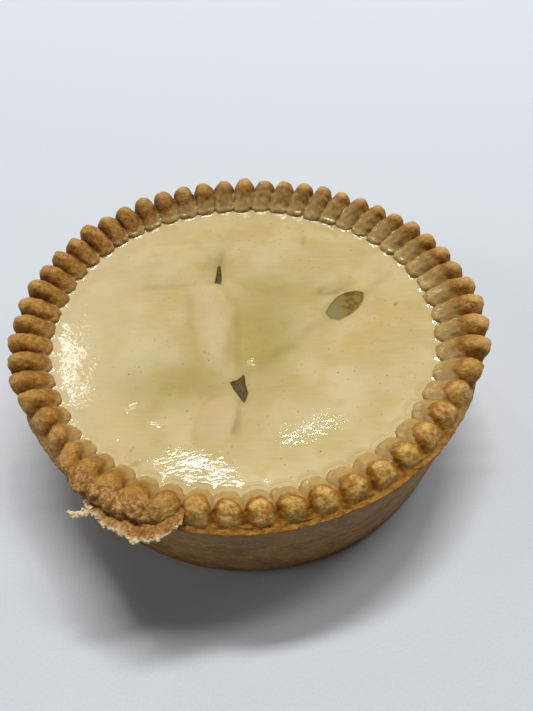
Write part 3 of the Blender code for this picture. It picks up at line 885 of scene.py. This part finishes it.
def case_profile():
    """Radius, height and how oval, from the middle of the base to the wall's top."""
    rows = []
    for count, radius in ((1, 0.0), (27, 4.0), (54, 9.0), (108, 18.0), (216, 30.0), (432, 42.0), (864, 52.0)):
        rows.append((count, radius * MM, 0.0))
    for i in range(FOOT_ROWS):
        lean = math.radians(90.0 * i / FOOT_ROWS)
        radius = BASE_RADIUS - FOOT_ROUND * (1.0 - math.sin(lean))
        rows.append((CASE_COLUMNS, radius, FOOT_ROUND * (1.0 - math.cos(lean))))
    for i in range(WALL_ROWS + 1):
        share = i / WALL_ROWS
        height = FOOT_ROUND + share * (WALL_TOP_HEIGHT - FOOT_ROUND)
        radius = BASE_RADIUS + share * (WALL_TOP_RADIUS - BASE_RADIUS)
        rows.append((CASE_COLUMNS, radius + WALL_BELLY * 4.0 * share * (1.0 - share), height))
    for count, radius in ((432, 57.0), (216, 45.0), (108, 30.0), (54, 15.0), (1, 0.0)):
        rows.append((count, radius * MM, WALL_TOP_HEIGHT - 8.0 * MM))
    return rows


def case_piece():
    """The stack of circles, with the wall painted as shown."""
    rings = []
    shown = []
    for count, radius, height in case_profile():
        angle = 2.0 * np.pi * np.arange(count) / count
        amount = FOOT_OUT_OF_ROUND + (1.0 - FOOT_OUT_OF_ROUND) * min(1.0, height / WALL_TOP_HEIGHT)
        oval = radius * (1.0 + amount * waves(OUT_OF_ROUND, angle))
        rings.append(np.stack([oval * np.cos(angle), oval * np.sin(angle), np.full(count, height)], 1))
        shown.append(np.full(count, float(FOOT_ROUND < height)))
    piece = make_piece("case", np.vstack(rings), stack_faces([len(ring) for ring in rings]))
    paint(piece, "shown", np.concatenate(shown))
    return piece


case = case_piece()
grown(case, baked_skin, {"Stretch": (5.0, 5.0, 1.0), "Blister size": 2.0 * MM, "Blister height": 0.16 * MM,
                         "Pit depth": 0.06 * MM, "Material": case_pastry()})

# %% [markdown]
# ## The lie of the lid
#
# Rolled dough laid over chopped pork sags, and rides up over the larger lumps. The stock then
# fills what is low. So the relief comes first, as a plain function of X and Y: a sag, a few
# broad swells and hollows, two tongues of dough that stand proud, one sharp step beside them,
# and creases. The jelly needs no shape of its own: it is a level, and the relief cuts it.

# %% Relief of the lid
LID_RADIUS = 51.8 * MM
LID_SAG = 1.0 * MM
SWELLS = (
    # centre x and y, half length, half width, turn of the length from +X in degrees, rise
    (5.0, -3.8, 17.0, 8.5, 84.0, -1.3),
    (-28.0, 7.2, 15.0, 9.0, 60.0, 0.6),
    (-21.0, 30.2, 15.0, 7.0, -8.0, 1.2),
    (12.0, 33.2, 17.0, 8.0, -12.0, 0.9),
    (10.0, 16.2, 9.0, 4.5, -10.0, -0.9),
    (-8.0, 28.2, 7.0, 5.0, 84.0, -1.5),
    (27.0, 11.7, 7.0, 2.8, 20.0, -0.9),
    (29.0, -16.8, 15.0, 9.0, 35.0, 0.6),
    (-27.0, -24.8, 12.0, 6.0, -20.0, -0.5),
    (-20.0, -19.0, 17.0, 7.0, -4.0, -1.2),
    (-33.0, 14.0, 12.0, 3.5, 80.0, -0.4),
)
TONGUES = (
    # the same, for lumps with a clear edge
    (-10.0, 3.4, 17.5, 6.6, 89.0, 1.0),
    (-7.6, -31.5, 11.0, 6.0, 66.0, 0.9),
)
CREASES = (
    # a line of places, half width and depth
    (((-7.2, 18.8), (-15.0, 18.6), (-30.0, 18.2)), 1.5, 0.22),
    (((24.0, 0.4), (18.0, -4.6), (12.0, -9.5), (4.0, -13.0)), 2.2, 0.12),
    (((35.8, 7.6), (40.0, 11.2), (45.0, 15.2)), 1.4, 0.28),
    (((24.0, 11.2), (28.0, 10.4), (31.0, 12.2)), 1.6, 0.30),
    (((22.0, 36.0), (21.0, 33.0)), 1.0, 0.18),
    (((-3.0, -27.4), (-3.2, -31.0), (-5.0, -37.0)), 1.0, 0.35),
    (((-16.0, 14.0), (-16.6, 6.0), (-16.0, -2.0)), 1.4, 0.22),
    (((-7.2, 27.0), (-6.4, 31.5)), 1.4, 0.30),
)
STEP_TOP, STEP_FOOT, STEP_DEPTH = 10.0, -22.0, 0.7


def turned_to(x, y, centre_x, centre_y, turn):
    """Places as seen from a centre, with the first axis turned to an angle in degrees."""
    lean = math.radians(turn)
    along = (x - centre_x) * math.cos(lean) + (y - centre_y) * math.sin(lean)
    return along, (y - centre_y) * math.cos(lean) - (x - centre_x) * math.sin(lean)


def uneven_edge(x, y):
    """A wander for the outlines of the tongues, as a share of their size."""
    return 0.16 * lumps(np.stack([x, y, np.zeros(x.shape)], 1) * MM, 8.0 * MM, 3, seed=8.0)


def tongue_at(x, y):
    """The lumps with a clear edge, from 0 outside them to 1 on top."""
    total = 0.0
    for centre_x, centre_y, length, width, turn, rise in TONGUES:
        along, across = turned_to(x, y, centre_x, centre_y, turn)
        total = total + rise * ramp(np.hypot(along / length, across / width) + uneven_edge(x, y), 1.3, 0.1)
    return total


def far_from_line(x, y, line):
    """The distance from each place to a line of a few points."""
    nearest = np.full(x.shape, np.inf)
    for (ax, ay), (bx, by) in zip(line, line[1:]):
        share = np.clip(((x - ax) * (bx - ax) + (y - ay) * (by - ay)) / ((bx - ax) ** 2 + (by - ay) ** 2), 0, 1)
        nearest = np.minimum(nearest, np.hypot(x - ax - share * (bx - ax), y - ay - share * (by - ay)))
    return nearest


def relief_at(x, y):
    """The lid's rise above its edge, all in millimetres, and how far it is a proud tongue."""
    rise = -LID_SAG / MM * np.maximum(0.0, 1.0 - (x * x + y * y) * MM * MM / LID_RADIUS ** 2)
    for centre_x, centre_y, length, width, turn, height in SWELLS:
        along, across = turned_to(x, y, centre_x, centre_y, turn)
        rise = rise + height * np.exp(-(along / length) ** 2 - (across / width) ** 2)
    tongue = tongue_at(x, y)
    rise = rise + tongue
    for line, width, depth in CREASES:
        rise = rise - depth * np.exp(-(far_from_line(x, y, line) / width) ** 2)
    beside = x + 3.4 - 0.055 * (y + 8.0)
    reach = ramp(y, STEP_FOOT, STEP_FOOT + 9.0) * ramp(y, STEP_TOP, STEP_TOP - 8.0)
    rise = rise - STEP_DEPTH * reach * ramp(beside, -1.0, 1.6) * np.exp(-(np.maximum(beside, 0.0) / 9.0) ** 2)
    fade = ramp(np.hypot(x, y), LID_RADIUS / MM, 0.86 * LID_RADIUS / MM)
    return rise * fade, tongue


# %% [markdown]
# ## Three vents
#
# The cook stabbed the lid three times to let out steam and let in stock: a slit, an eye-shaped
# hole and a notch. Each has an outline of a few points, and the lid falls away inside it. The
# distance to that outline, counted negative inside, gives both the depth and the colour.

# %% Vents
VENTS = {
    # outline, depth and how soft its edge is
    "slit": (((-8.4, 18.6), (-7.0, 18.2), (-6.7, 20.6), (-6.7, 23.6), (-6.9, 27.0), (-7.3, 27.0), (-7.7, 23.0),
              (-8.0, 20.4)), 3.6, 0.9),
    "eye": (((24.0, 1.4), (25.0, -0.9), (26.9, -1.6), (30.0, -0.2), (33.0, 2.3), (35.0, 5.2), (35.9, 8.2),
             (33.8, 8.9), (31.0, 8.7), (28.4, 7.3), (25.8, 4.4)), 1.8, 1.2),
    "notch": (((-5.4, -20.7), (-3.6, -20.3), (-2.0, -18.6), (-1.9, -21.6), (-1.4, -25.0), (-2.3, -27.6),
               (-3.6, -25.2), (-4.6, -23.0)), 3.6, 0.9),
}


HALO = 3.2


def inside_outline(x, y, outline):
    """How deep each place lies inside a closed outline; negative outside."""
    loop = list(outline) + [outline[0]]
    distance = far_from_line(x, y, loop)
    inside = np.zeros(x.shape, bool)
    for (ax, ay), (bx, by) in zip(loop, loop[1:]):
        if ay != by:
            crosses = (ay > y) != (by > y)
            inside ^= crosses & (x < ax + (y - ay) * (bx - ax) / (by - ay))
    return np.where(inside, distance, -distance)


def shade_at(x, y):
    """How much painted shade each place gets, in a crease or along the edge of a tongue, from 0 to 1."""
    total = np.zeros(x.shape)
    for line, width, depth in CREASES:
        total = np.maximum(total, 2.6 * depth * np.exp(-(far_from_line(x, y, line) / (0.9 * width)) ** 2))
    for centre_x, centre_y, length, width, turn, _ in TONGUES:
        along, across = turned_to(x, y, centre_x, centre_y, turn)
        beyond = np.hypot(along / length, across / width) + uneven_edge(x, y) - 1.0
        total = np.maximum(total, 0.30 * np.exp(-(beyond / 0.13) ** 2))
    return total


def vents_at(x, y):
    """How far the vents drop the lid, in millimetres, and how much of a vent each place is."""
    drop = np.zeros(x.shape)
    part = np.zeros(x.shape)
    for outline, depth, softness in VENTS.values():
        within = inside_outline(x, y, outline)
        drop = np.maximum(drop, depth * ramp(within, -0.35 * softness, 0.65 * softness))
        part = np.maximum(part, 0.30 * ramp(within, -HALO, -0.5 * softness) + 0.70 * ramp(within, -0.7 * softness, 0.3 * softness))
    return drop, part


# %% [markdown]
# ## The lid
#
# The lid's circles of corners follow the rim's petals, closer together near the rim and round
# the vents. Where the jelly meets the petals it creeps up them in a fine meniscus, whose bright
# line follows every scallop, and two faint ripples follow that.

# %% Lid
LID_COLUMNS = 648
PETAL_REACH = RIM_RADIUS - TOE_INWARD + 0.15 * MM
TOE_SCALLOP = 1.8 * MM
MENISCUS_HEIGHT, MENISCUS_WIDTH = 0.50 * MM, 0.75 * MM
JELLY_LEVEL = LID_HEIGHT - 0.30 * MM
CALM = 0.05
STAINS = (
    # brown flecks and one smear of fat: centre, half length, half width, turn, depth of colour
    (44.5, 2.0, 1.1, 0.6, 50.0, 1.0), (-30.0, -39.0, 0.9, 0.35, 60.0, 0.8), (-28.5, -43.0, 2.0, 0.8, 25.0, 0.5),
    (-46.0, -4.0, 0.6, 0.3, 10.0, 0.4), (5.0, 39.0, 0.7, 0.4, 100.0, 0.3), (-18.0, 38.0, 0.5, 0.4, 0.0, 0.4),
)
GLINTS = (
    # where the jelly set wrinkled: centre, half length, half width, turn, lean to the front, wrinkling
    (-22.0, -44.0, 17.0, 6.5, -10.0, 0.020, 0.26),
    (14.0, -37.0, 12.0, 5.0, 14.0, 0.026, 0.25),
    (-47.0, 4.0, 34.0, 8.0, 84.0, 0.000, 0.34),
    (-45.0, -9.0, 6.5, 3.5, 105.0, 0.000, 0.26),
    (-32.0, -27.0, 5.0, 2.2, 60.0, 0.072, 0.38),
    (-25.0, -32.0, 3.0, 0.9, -30.0, 0.060, 0.34),
    (0.5, -14.5, 1.5, 0.7, 0.0, 0.139, 0.60),
    (-38.0, -33.0, 10.0, 2.5, 130.0, 0.050, 0.40),
    (34.0, -30.0, 8.0, 4.0, 55.0, 0.010, 0.20),
)
LID_BANDS = (
    # corners in the circle, from radius, to radius, spacing
    (81, 1.0, 3.6, 0.5), (162, 3.6, 7.2, 0.5), (324, 7.2, 14.4, 0.5), (648, 14.4, 18.0, 0.5),
    (648, 18.0, 38.0, 0.32), (648, 38.0, 50.4, 0.5), (648, 50.4, 56.8, 0.2),
)


def skin_at(x, y):
    """How wrinkled the jelly's surface is at each place, and how far it leans to the front."""
    ruffle = np.full(x.shape, CALM)
    lean = np.zeros(x.shape)
    for centre_x, centre_y, length, width, turn, lift, wrinkles in GLINTS:
        along, across = turned_to(x, y, centre_x, centre_y, turn)
        near = np.exp(-(along / length) ** 4 - (across / width) ** 4)
        ruffle = np.maximum(ruffle, wrinkles * near)
        lean = np.maximum(lean, lift * near)
    return ruffle, lean


def stain_at(x, y):
    """How stained the lid is at each place, from 0 to 1."""
    total = np.zeros(x.shape)
    for centre_x, centre_y, length, width, turn, depth in STAINS:
        along, across = turned_to(x, y, centre_x, centre_y, turn)
        total = np.maximum(total, depth * ramp(np.hypot(along / length, across / width), 1.15, 0.75))
    return total


def lid_piece():
    """Circles of corners over the relief, and a flat underside that the case hides."""
    turns = [np.zeros(1)]
    reach = [np.zeros(1)]
    for count, start, end, spacing in LID_BANDS:
        for radius in np.arange(start, end - 0.01, spacing):
            turns.append(np.arange(count) * CRIMPS / count)
            reach.append(np.full(count, radius * MM))
    counts = [len(t) for t in turns]
    turn, reach = np.concatenate(turns), np.concatenate(reach)
    x, y = place_round(turn, reach, LID_SHIFT)
    from_petal = PETAL_REACH + TOE_SCALLOP * (1.0 - ridge_at(turn, 3.4)) - reach
    rise, tongue = relief_at(x / MM, y / MM)
    drop, part = vents_at(x / MM, y / MM)
    places = np.stack([x, y, np.zeros(len(x))], 1)
    dimples = 0.03 * lumps(places, 3.0 * MM, 3) + 0.10 * lumps(places, 9.0 * MM, 2, seed=2.0)
    climb = np.exp(-np.maximum(from_petal, 0.0) / MENISCUS_WIDTH)
    ripple = np.exp(-((from_petal / MM - 1.25) / 0.16) ** 2) + 0.6 * np.exp(-((from_petal / MM - 1.9) / 0.16) ** 2)
    ripple = ripple * (0.15 + 0.85 * ramp(y / MM, -18.0, -34.0))
    z = LID_HEIGHT + MM * (rise + dimples - drop + 0.05 * ripple) + MENISCUS_HEIGHT * climb
    under = [(648, 56.8), (324, 40.0), (162, 20.0), (81, 8.0), (1, 0.0)]
    for count, radius in under:
        round_x, round_y = place_round(np.arange(count) * CRIMPS / count, np.full(count, radius * MM), LID_SHIFT)
        places = np.vstack([places, np.stack([round_x, round_y, np.zeros(count)], 1)])
        z = np.append(z, np.full(count, LID_HEIGHT - 5.2 * MM))
    places[:, 2] = z
    piece = make_piece("lid", places, stack_faces(counts + [count for count, _ in under]))
    hidden = len(z) - len(turn)
    ruffle, lean = skin_at(x / MM, y / MM)
    uneven = 0.7 + 0.9 * lumps(np.stack([x, y, np.zeros(len(x))], 1), 6.0 * MM, 2, seed=5.0)
    shade = np.clip(shade_at(x / MM, y / MM) * uneven, 0.0, 1.0)
    for name, values in (("swell", tongue), ("vent", part), ("ripple", np.minimum(ripple, 1.0)),
                         ("shade", shade), ("stain", stain_at(x / MM, y / MM) * uneven), ("ruffle", ruffle), ("lean", lean), ("meniscus", climb ** 0.5)):
        paint(piece, name, np.append(values, np.zeros(hidden)))
    return piece


lid = lid_piece()
lid.data.materials.append(lid_pastry())
lid.data.materials.append(vent_jelly_material())
MEAT_SHOWS = (26.0 * MM, 31.5 * MM)
in_vent = painted(lid, "vent") > 0.30
paint(lid, "amber", in_vent * ramp(corners(lid)[:, 0], *MEAT_SHOWS))
lid.data.polygons.foreach_set("material_index", [int(in_vent[list(p.vertices)].all()) for p in lid.data.polygons])

# %% [markdown]
# ## The jelly
#
# The stock is poured through the vents and finds its own level. So the film is a flat stack of
# circles at that level: wherever the lid is lower, it shows, and wherever the lid is higher, it
# is buried. Each corner keeps the depth under it, for the material's tint.

# %% Jelly film
def jelly_piece():
    """A closed film whose top is level and whose foot is buried in the lid."""
    counts = [1, 81, 81, 162, 162] + [324] * 90
    radii = [0.0] + list(np.linspace(1.0, 50.6, len(counts) - 1))
    turn = np.concatenate([np.arange(count) * CRIMPS / count for count in counts])
    reach = np.concatenate([np.full(count, radius * MM) for count, radius in zip(counts, radii)])
    x, y = place_round(turn, reach, LID_SHIFT)
    rise, _ = relief_at(x / MM, y / MM)
    _, part = vents_at(x / MM, y / MM)
    floor_height = LID_HEIGHT + MM * rise
    surface = np.stack([x, y, np.full(len(x), JELLY_LEVEL)], 1)
    buried = np.stack([x, y, np.minimum(floor_height, JELLY_LEVEL) - 0.5 * MM], 1)
    depth = np.maximum(JELLY_LEVEL - floor_height, 0.0) * (1.0 - part)
    above = stack_faces(counts)
    offset = len(x)
    below = [tuple(offset + corner for corner in face) for face in above]
    edge = offset - counts[-1]
    side = circle_faces(edge, counts[-1], offset + edge, counts[-1])
    piece = make_piece("jelly_pool", np.vstack([surface, buried]), above + below + side)
    paint(piece, "depth", np.tile(depth, 2))
    for name, values in zip(("ruffle", "lean"), skin_at(x / MM, y / MM)):
        paint(piece, name, np.tile(values, 2))
    piece.data.materials.append(jelly_film())
    return piece


jelly = jelly_piece()

# %% [markdown]
# ## Jelly in the vents
#
# In each vent the jelly stands a little below the lid, darker for being deep. The eye shows the
# meat under it in amber strands. Each vent gets a small closed pool that reaches into the walls.

# %% Vent jelly
def vent_pools():
    """One closed pool for each vent, level on top, all in one piece."""
    points, faces, vent = [], [], []
    for name, (outline, depth, softness) in VENTS.items():
        middle = np.mean(outline, axis=0)
        loop = smooth_line(list(outline) + [outline[0]], 6 * len(outline) + 1)[:-1]
        rise, _ = relief_at(np.array([middle[0]]), np.array([middle[1]]))
        level = LID_HEIGHT + MM * (rise[0] - VENT_LEVELS[name])
        counts = []
        start = len(points)
        part = []
        for share, low in ((0.0, 0.0), (0.35, 0.0), (0.68, 0.0), (1.0, 0.0), (1.12, 0.25), (1.12, 2.0), (0.0, 2.0)):
            ring = middle + share * (loop - middle) if share else [middle]
            counts.append(len(ring))
            part.extend([1.0 if share < 0.9 else 0.78] * len(ring))
            points.extend((x * MM, y * MM, level - low * MM) for x, y in ring)
        faces.extend(tuple(start + corner for corner in face) for face in stack_faces(counts))
        vent.extend(part)
    piece = make_piece("vent_jelly", points, faces)
    paint(piece, "amber", ramp(corners(piece)[:, 0], *MEAT_SHOWS))
    paint(piece, "vent", vent)
    piece.data.materials.append(lid.data.materials[1])
    return piece


VENT_LEVELS = {"slit": 0.5, "eye": 0.25, "notch": 0.5}
vent_jelly = vent_pools()

# %% [markdown]
# ## The layer that juts out
#
# Below the torn crimps, the lip of the case stands out as a thin ragged shelf with a pale crumbly
# edge, and a sliver of it points away to the left. It is a strip: a section of a dozen points,
# carried round the torn stretch, reaching out to a line of a few radii that noise then frays.

# %% Torn shelf
SHELF_EDGE = (
    # angle in degrees and radius of the edge
    (229.0, 61.5), (231.5, 63.6), (233.5, 66.0), (236.5, 67.4), (240.0, 68.1), (244.0, 68.7), (247.5, 68.6),
    (250.0, 67.4), (252.0, 65.4), (254.0, 62.5),
)
FLAKE = ((-36.6, -54.0, 36.4), (-38.6, -55.2, 36.3), (-40.6, -55.4, 36.3), (-42.6, -54.7, 36.6))
FLAKE_SECTIONS, FLAKE_CORNERS = 16, 10
SHELF_TOP = 37.7 * MM
SHELF_ROOT = 59.5 * MM
SHELF_COLUMNS = 260
SHELF_ACROSS = 18


def ring_sides(start, sections, around):
    """Faces of a tube of rings that begins at a corner, with both its ends closed."""
    rings = [[start + i * around + j for j in range(around)] for i in range(sections)]
    faces = [tuple(rings[0]), tuple(rings[-1])]
    for here, there in zip(rings, rings[1:]):
        faces.extend((here[j - 1], here[j], there[j], there[j - 1]) for j in range(around))
    return faces


def shelf_piece():
    """A frayed strip, thick at its root, thin at its edge and closed all round."""
    line = smooth_line(SHELF_EDGE, SHELF_COLUMNS)
    angle, edge = np.radians(line[:, 0]), line[:, 1] * MM
    along = np.linspace(0.0, 1.0, SHELF_COLUMNS)
    body = np.minimum(ramp(along, 0.0, 0.12), ramp(along, 1.0, 0.94))
    guide = np.stack([edge * np.cos(angle), edge * np.sin(angle), np.zeros(len(edge))], 1)
    fray = 0.55 * MM * lumps(guide, 1.6 * MM, 4) + 0.3 * MM * lumps(guide, 0.5 * MM, 2, seed=3.0)
    edge = edge + body * fray
    out = np.concatenate([np.linspace(0.0, 1.0, SHELF_ACROSS), np.linspace(1.0, 0.0, SHELF_ACROSS)[1:-1]])
    lower = np.arange(len(out)) >= SHELF_ACROSS
    radius = SHELF_ROOT + out[None, :] * (edge - SHELF_ROOT)[:, None]
    x, y = radius * np.cos(angle)[:, None], radius * np.sin(angle)[:, None]
    thick = (0.35 + 1.05 * body[:, None] * (1.0 - out[None, :] ** 3)) * MM
    droop = 1.1 * MM * body[:, None] * out[None, :] ** 2
    points = np.stack([x, y, SHELF_TOP - droop - lower[None, :] * thick], 2).reshape(-1, 3)
    rough = lumps(points, 1.3 * MM, 4, seed=4.0) * np.repeat(body, len(out))
    points[:, 2] += 0.32 * MM * rough
    columns = [[i * len(out) + j for j in range(len(out))] for i in range(SHELF_COLUMNS)]
    faces = [tuple(columns[0]), tuple(columns[-1])]
    for here, there in zip(columns, columns[1:]):
        faces.extend((here[j - 1], here[j], there[j], there[j - 1]) for j in range(len(out)))
    line = smooth_line(FLAKE, FLAKE_SECTIONS) * MM
    share = np.linspace(0.0, 1.0, FLAKE_SECTIONS)
    spin = 2.0 * np.pi * np.arange(FLAKE_CORNERS) / FLAKE_CORNERS
    width = (1.15 * (1.0 - share ** 1.5) + 0.12) * MM
    sliver = line[:, None, :] + np.stack([0.25 * width[:, None] * np.cos(spin), width[:, None] * np.cos(spin),
                                          0.35 * width[:, None] * np.sin(spin)], 2)
    sliver = sliver.reshape(-1, 3)
    sliver += 0.22 * MM * lumps(sliver, 0.9 * MM, 3, seed=6.0)[:, None]
    faces.extend(ring_sides(len(points), FLAKE_SECTIONS, FLAKE_CORNERS))
    points = np.vstack([points, sliver])
    piece = make_piece("torn_shelf", points, faces)
    outness = np.append(np.tile(out, SHELF_COLUMNS), np.ones(len(sliver)))
    rough = np.append(rough, np.zeros(len(sliver)))
    body = np.append(np.repeat(body, len(out)), np.ones(len(sliver)))
    paint(piece, "toast", ramp(outness + 0.10 * rough, 1.0, 0.82))
    paint(piece, "crumbly", ramp(outness, 0.86, 1.0) * body + 0.05)
    return piece


shelf = shelf_piece()
crumb_finish = broken_pastry()
shelf.data.materials.append(crumb_finish)

# %% [markdown]
# ## Crumbs, scattered with Geometry Nodes
#
# Wherever the pastry broke, crumbs cling. The tree scatters points over the faces it is given,
# most where the mesh is painted `crumbly`, puts a small lump on each with its own turn and size,
# and knocks the lumps out of shape with noise so that no two are alike.

# %% Scatter tree
def scatter_tree():
    """Lumps scattered over a surface, flattened and knocked out of shape."""
    tree, given = start_tree("scatter", (
        ("Density", "Float", 1.0e6), ("Seed", "Int", 0), ("Grain radius", "Float", 0.4 * MM),
        ("Flatness", "Float", 0.7), ("Knocks", "Float", 0.3), ("Material", "Material", None)))
    thickly = calc(tree, "MULTIPLY", given["Density"], named(tree, "crumbly"))
    strewn = add(tree, "GeometryNodeDistributePointsOnFaces", {"Mesh": given["Geometry"], "Density": thickly,
                 "Seed": given["Seed"]})
    ball = add(tree, "GeometryNodeMeshIcoSphere", {"Radius": given["Grain radius"], "Subdivisions": 2})
    tall = add(tree, "ShaderNodeCombineXYZ", {"X": 1.0, "Y": 0.8, "Z": given["Flatness"]}).outputs[0]
    pressed = add(tree, "GeometryNodeTransform", {"Geometry": ball.outputs["Mesh"], "Scale": tall})
    size = add(tree, "FunctionNodeRandomValue", {2: 0.45, 3: 1.3, "Seed": given["Seed"]}, data_type="FLOAT")
    spin = add(tree, "FunctionNodeRandomValue", {0: (-0.4, -0.4, 0.0), 1: (0.4, 0.4, math.tau),
               "Seed": given["Seed"]}, data_type="FLOAT_VECTOR")
    laid = add(tree, "GeometryNodeInstanceOnPoints", {"Points": strewn.outputs["Points"],
               "Instance": pressed.outputs[0], "Rotation": strewn.outputs["Rotation"], "Scale": size.outputs[1]})
    spun = add(tree, "GeometryNodeRotateInstances", {"Instances": laid.outputs[0], "Rotation": spin.outputs[0]})
    real = add(tree, "GeometryNodeRealizeInstances", {"Geometry": spun.outputs[0]})
    fineness = calc(tree, "DIVIDE", 1.2, given["Grain radius"])
    dents = add(tree, "ShaderNodeTexNoise", {"Scale": fineness, "Detail": 2.0})
    knock = calc(tree, "MULTIPLY", eased(tree, dents.outputs["Fac"], 0.2, 0.8, -1.0, 1.0),
                 calc(tree, "MULTIPLY", given["Knocks"], given["Grain radius"]))
    normal = add(tree, "GeometryNodeInputNormal").outputs[0]
    offset = add(tree, "ShaderNodeVectorMath", {0: normal, "Scale": knock}, operation="SCALE").outputs[0]
    moved = add(tree, "GeometryNodeSetPosition", {"Geometry": real.outputs[0], "Offset": offset})
    return end_tree(tree, moved.outputs[0], given["Material"])


scatter = scatter_tree()


def scattered(name, surface, values):
    """Grains grown over a copy of a surface, which itself is left out."""
    piece = bpy.data.objects.new(name, surface.data.copy())
    bpy.context.scene.collection.objects.link(piece)
    return grown(piece, scatter, values)


paint(shelf, "shown", np.ones(len(shelf.data.vertices)))
crumbs = scattered("crumbs", shelf, {"Density": 1.1e6, "Seed": 7, "Grain radius": 0.42 * MM, "Knocks": 0.5,
                                     "Material": crumb_finish})
paint(rim, "toast", 0.75 * np.ones(len(rim.data.vertices)))
paint(rim, "crumbly", painted(rim, "torn") * (corners(rim)[:, 2] > LIP_HEIGHT + 1.5 * MM))
rim_crumbs = scattered("rim_crumbs", rim, {"Density": 1.6e5, "Seed": 3, "Grain radius": 0.22 * MM,
                                           "Knocks": 0.5, "Material": crumb_finish})

# %% [markdown]
# ## Flecks on the lid
#
# Bran and specks of meat lie all over the lid, most of them finer than a pinhead. The same tree
# lays them flat, over the lid's top alone.

# %% Flecks
def strew_flecks():
    """Tiny flat specks over the open lid, away from the vents."""
    points = corners(lid)
    open_top = (points[:, 2] > LID_HEIGHT - 3.0 * MM) & (np.hypot(points[:, 0], points[:, 1]) < 50.0 * MM)
    paint(lid, "crumbly", open_top * (painted(lid, "vent") < 0.30))
    return scattered("flecks", lid, {"Density": 2.2e4, "Seed": 5, "Grain radius": 0.17 * MM, "Flatness": 0.3,
                                     "Material": bran_fleck()})


flecks = strew_flecks()

# %% [markdown]
# ## The table and the light
#
# The pie stands on plain white card. Two strips of light on the ceiling behind it do most of the
# work: they glint in the wet lid's wrinkles and throw the shadow towards us. A slim window at
# the back left is mirrored along the lid's left edge, and three low soft ones lift the shadows.

# %% Card
def white_card():
    """Matt white card, a little cool, with the finest tooth."""
    material, tree, shader, place = new_material("matt white card")
    tooth = blotches(tree, place, 0.6 * MM)
    tree.links.new(mixed(tree, soft(tree, tooth, 0.3, 0.7), "#D2D8DD", "#D8DDE2"), shader.inputs["Base Color"])
    shader.inputs["Roughness"].default_value = 0.9
    return material


FLOOR_SIZE = 3.0
bpy.ops.mesh.primitive_plane_add(size=FLOOR_SIZE)
floor = bpy.context.object
floor.name = "floor"
floor.data.materials.append(white_card())


# %% Lamps
def panel(name, place, aim_at, size, power, colour="#FFFFFF"):
    """A rectangular lamp at a place, turned to a point."""
    lamp = bpy.data.lights.new(name, "AREA")
    lamp.shape = "RECTANGLE"
    lamp.size, lamp.size_y = size
    lamp.energy = power
    lamp.color = linear(colour)[:3]
    holder = bpy.data.objects.new(name, lamp)
    bpy.context.scene.collection.objects.link(holder)
    turn = (Vector(aim_at) - Vector(place)).to_track_quat("-Z", "Y").to_matrix().to_4x4()
    holder.matrix_world = Matrix.Translation(place) @ turn
    return holder


PIE_MIDDLE = (0.0, 0.0, 0.03)


def strip(name, place, size, turn, power):
    """A level strip of lamps on the ceiling, turned about the vertical by some degrees."""
    holder = panel(name, place, PIE_MIDDLE, size, power)
    holder.matrix_world = Matrix.Translation(place) @ Matrix.Rotation(math.radians(turn), 4, "Z")


strip("near_strip", (0.12, 1.08, 2.60), (1.30, 0.26), 3.0, 58.0)
strip("far_strip", (1.22, 0.68, 2.60), (1.00, 0.30), -14.0, 24.0)
panel("back_window", (-0.94, 1.69, 2.00), (0.0, 0.0, 2.0), (0.10, 0.55), 3.2)
panel("corner_window", (-1.15, 2.60, 1.35), PIE_MIDDLE, (1.3, 0.14), 8.0)
panel("left_window", (-2.55, -0.30, 1.50), PIE_MIDDLE, (1.6, 1.2), 14.0)
panel("right_window", (2.66, 0.80, 1.60), PIE_MIDDLE, (1.6, 1.2), 8.5)

world = bpy.data.worlds.new("studio")
bpy.context.scene.world = world
world.use_nodes = True
world.node_tree.nodes["Background"].inputs["Color"].default_value = linear("#E6ECF0")
world.node_tree.nodes["Background"].inputs["Strength"].default_value = 0.006
bpy.context.scene.view_settings.view_transform = "Standard"

# %% [markdown]
# ## Onto the one body
#
# Each piece rides on the pie's one body, listed under the finish it stands for. Together they
# stand in for the solid crust, which is hidden and stays where it is for the physics.

# %% Bodies and sizes
PIECES = {
    "pastry": [case, rim, lid, shelf, crumbs, rim_crumbs, flecks],
    "jelly": [jelly, vent_jelly],
}
for slot, pieces in PIECES.items():
    for piece in pieces:
        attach(piece, "root")
        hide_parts("crust")
        print(piece.name, "has", sum(len(p.vertices) - 2 for p in piece.data.polygons), "triangles")
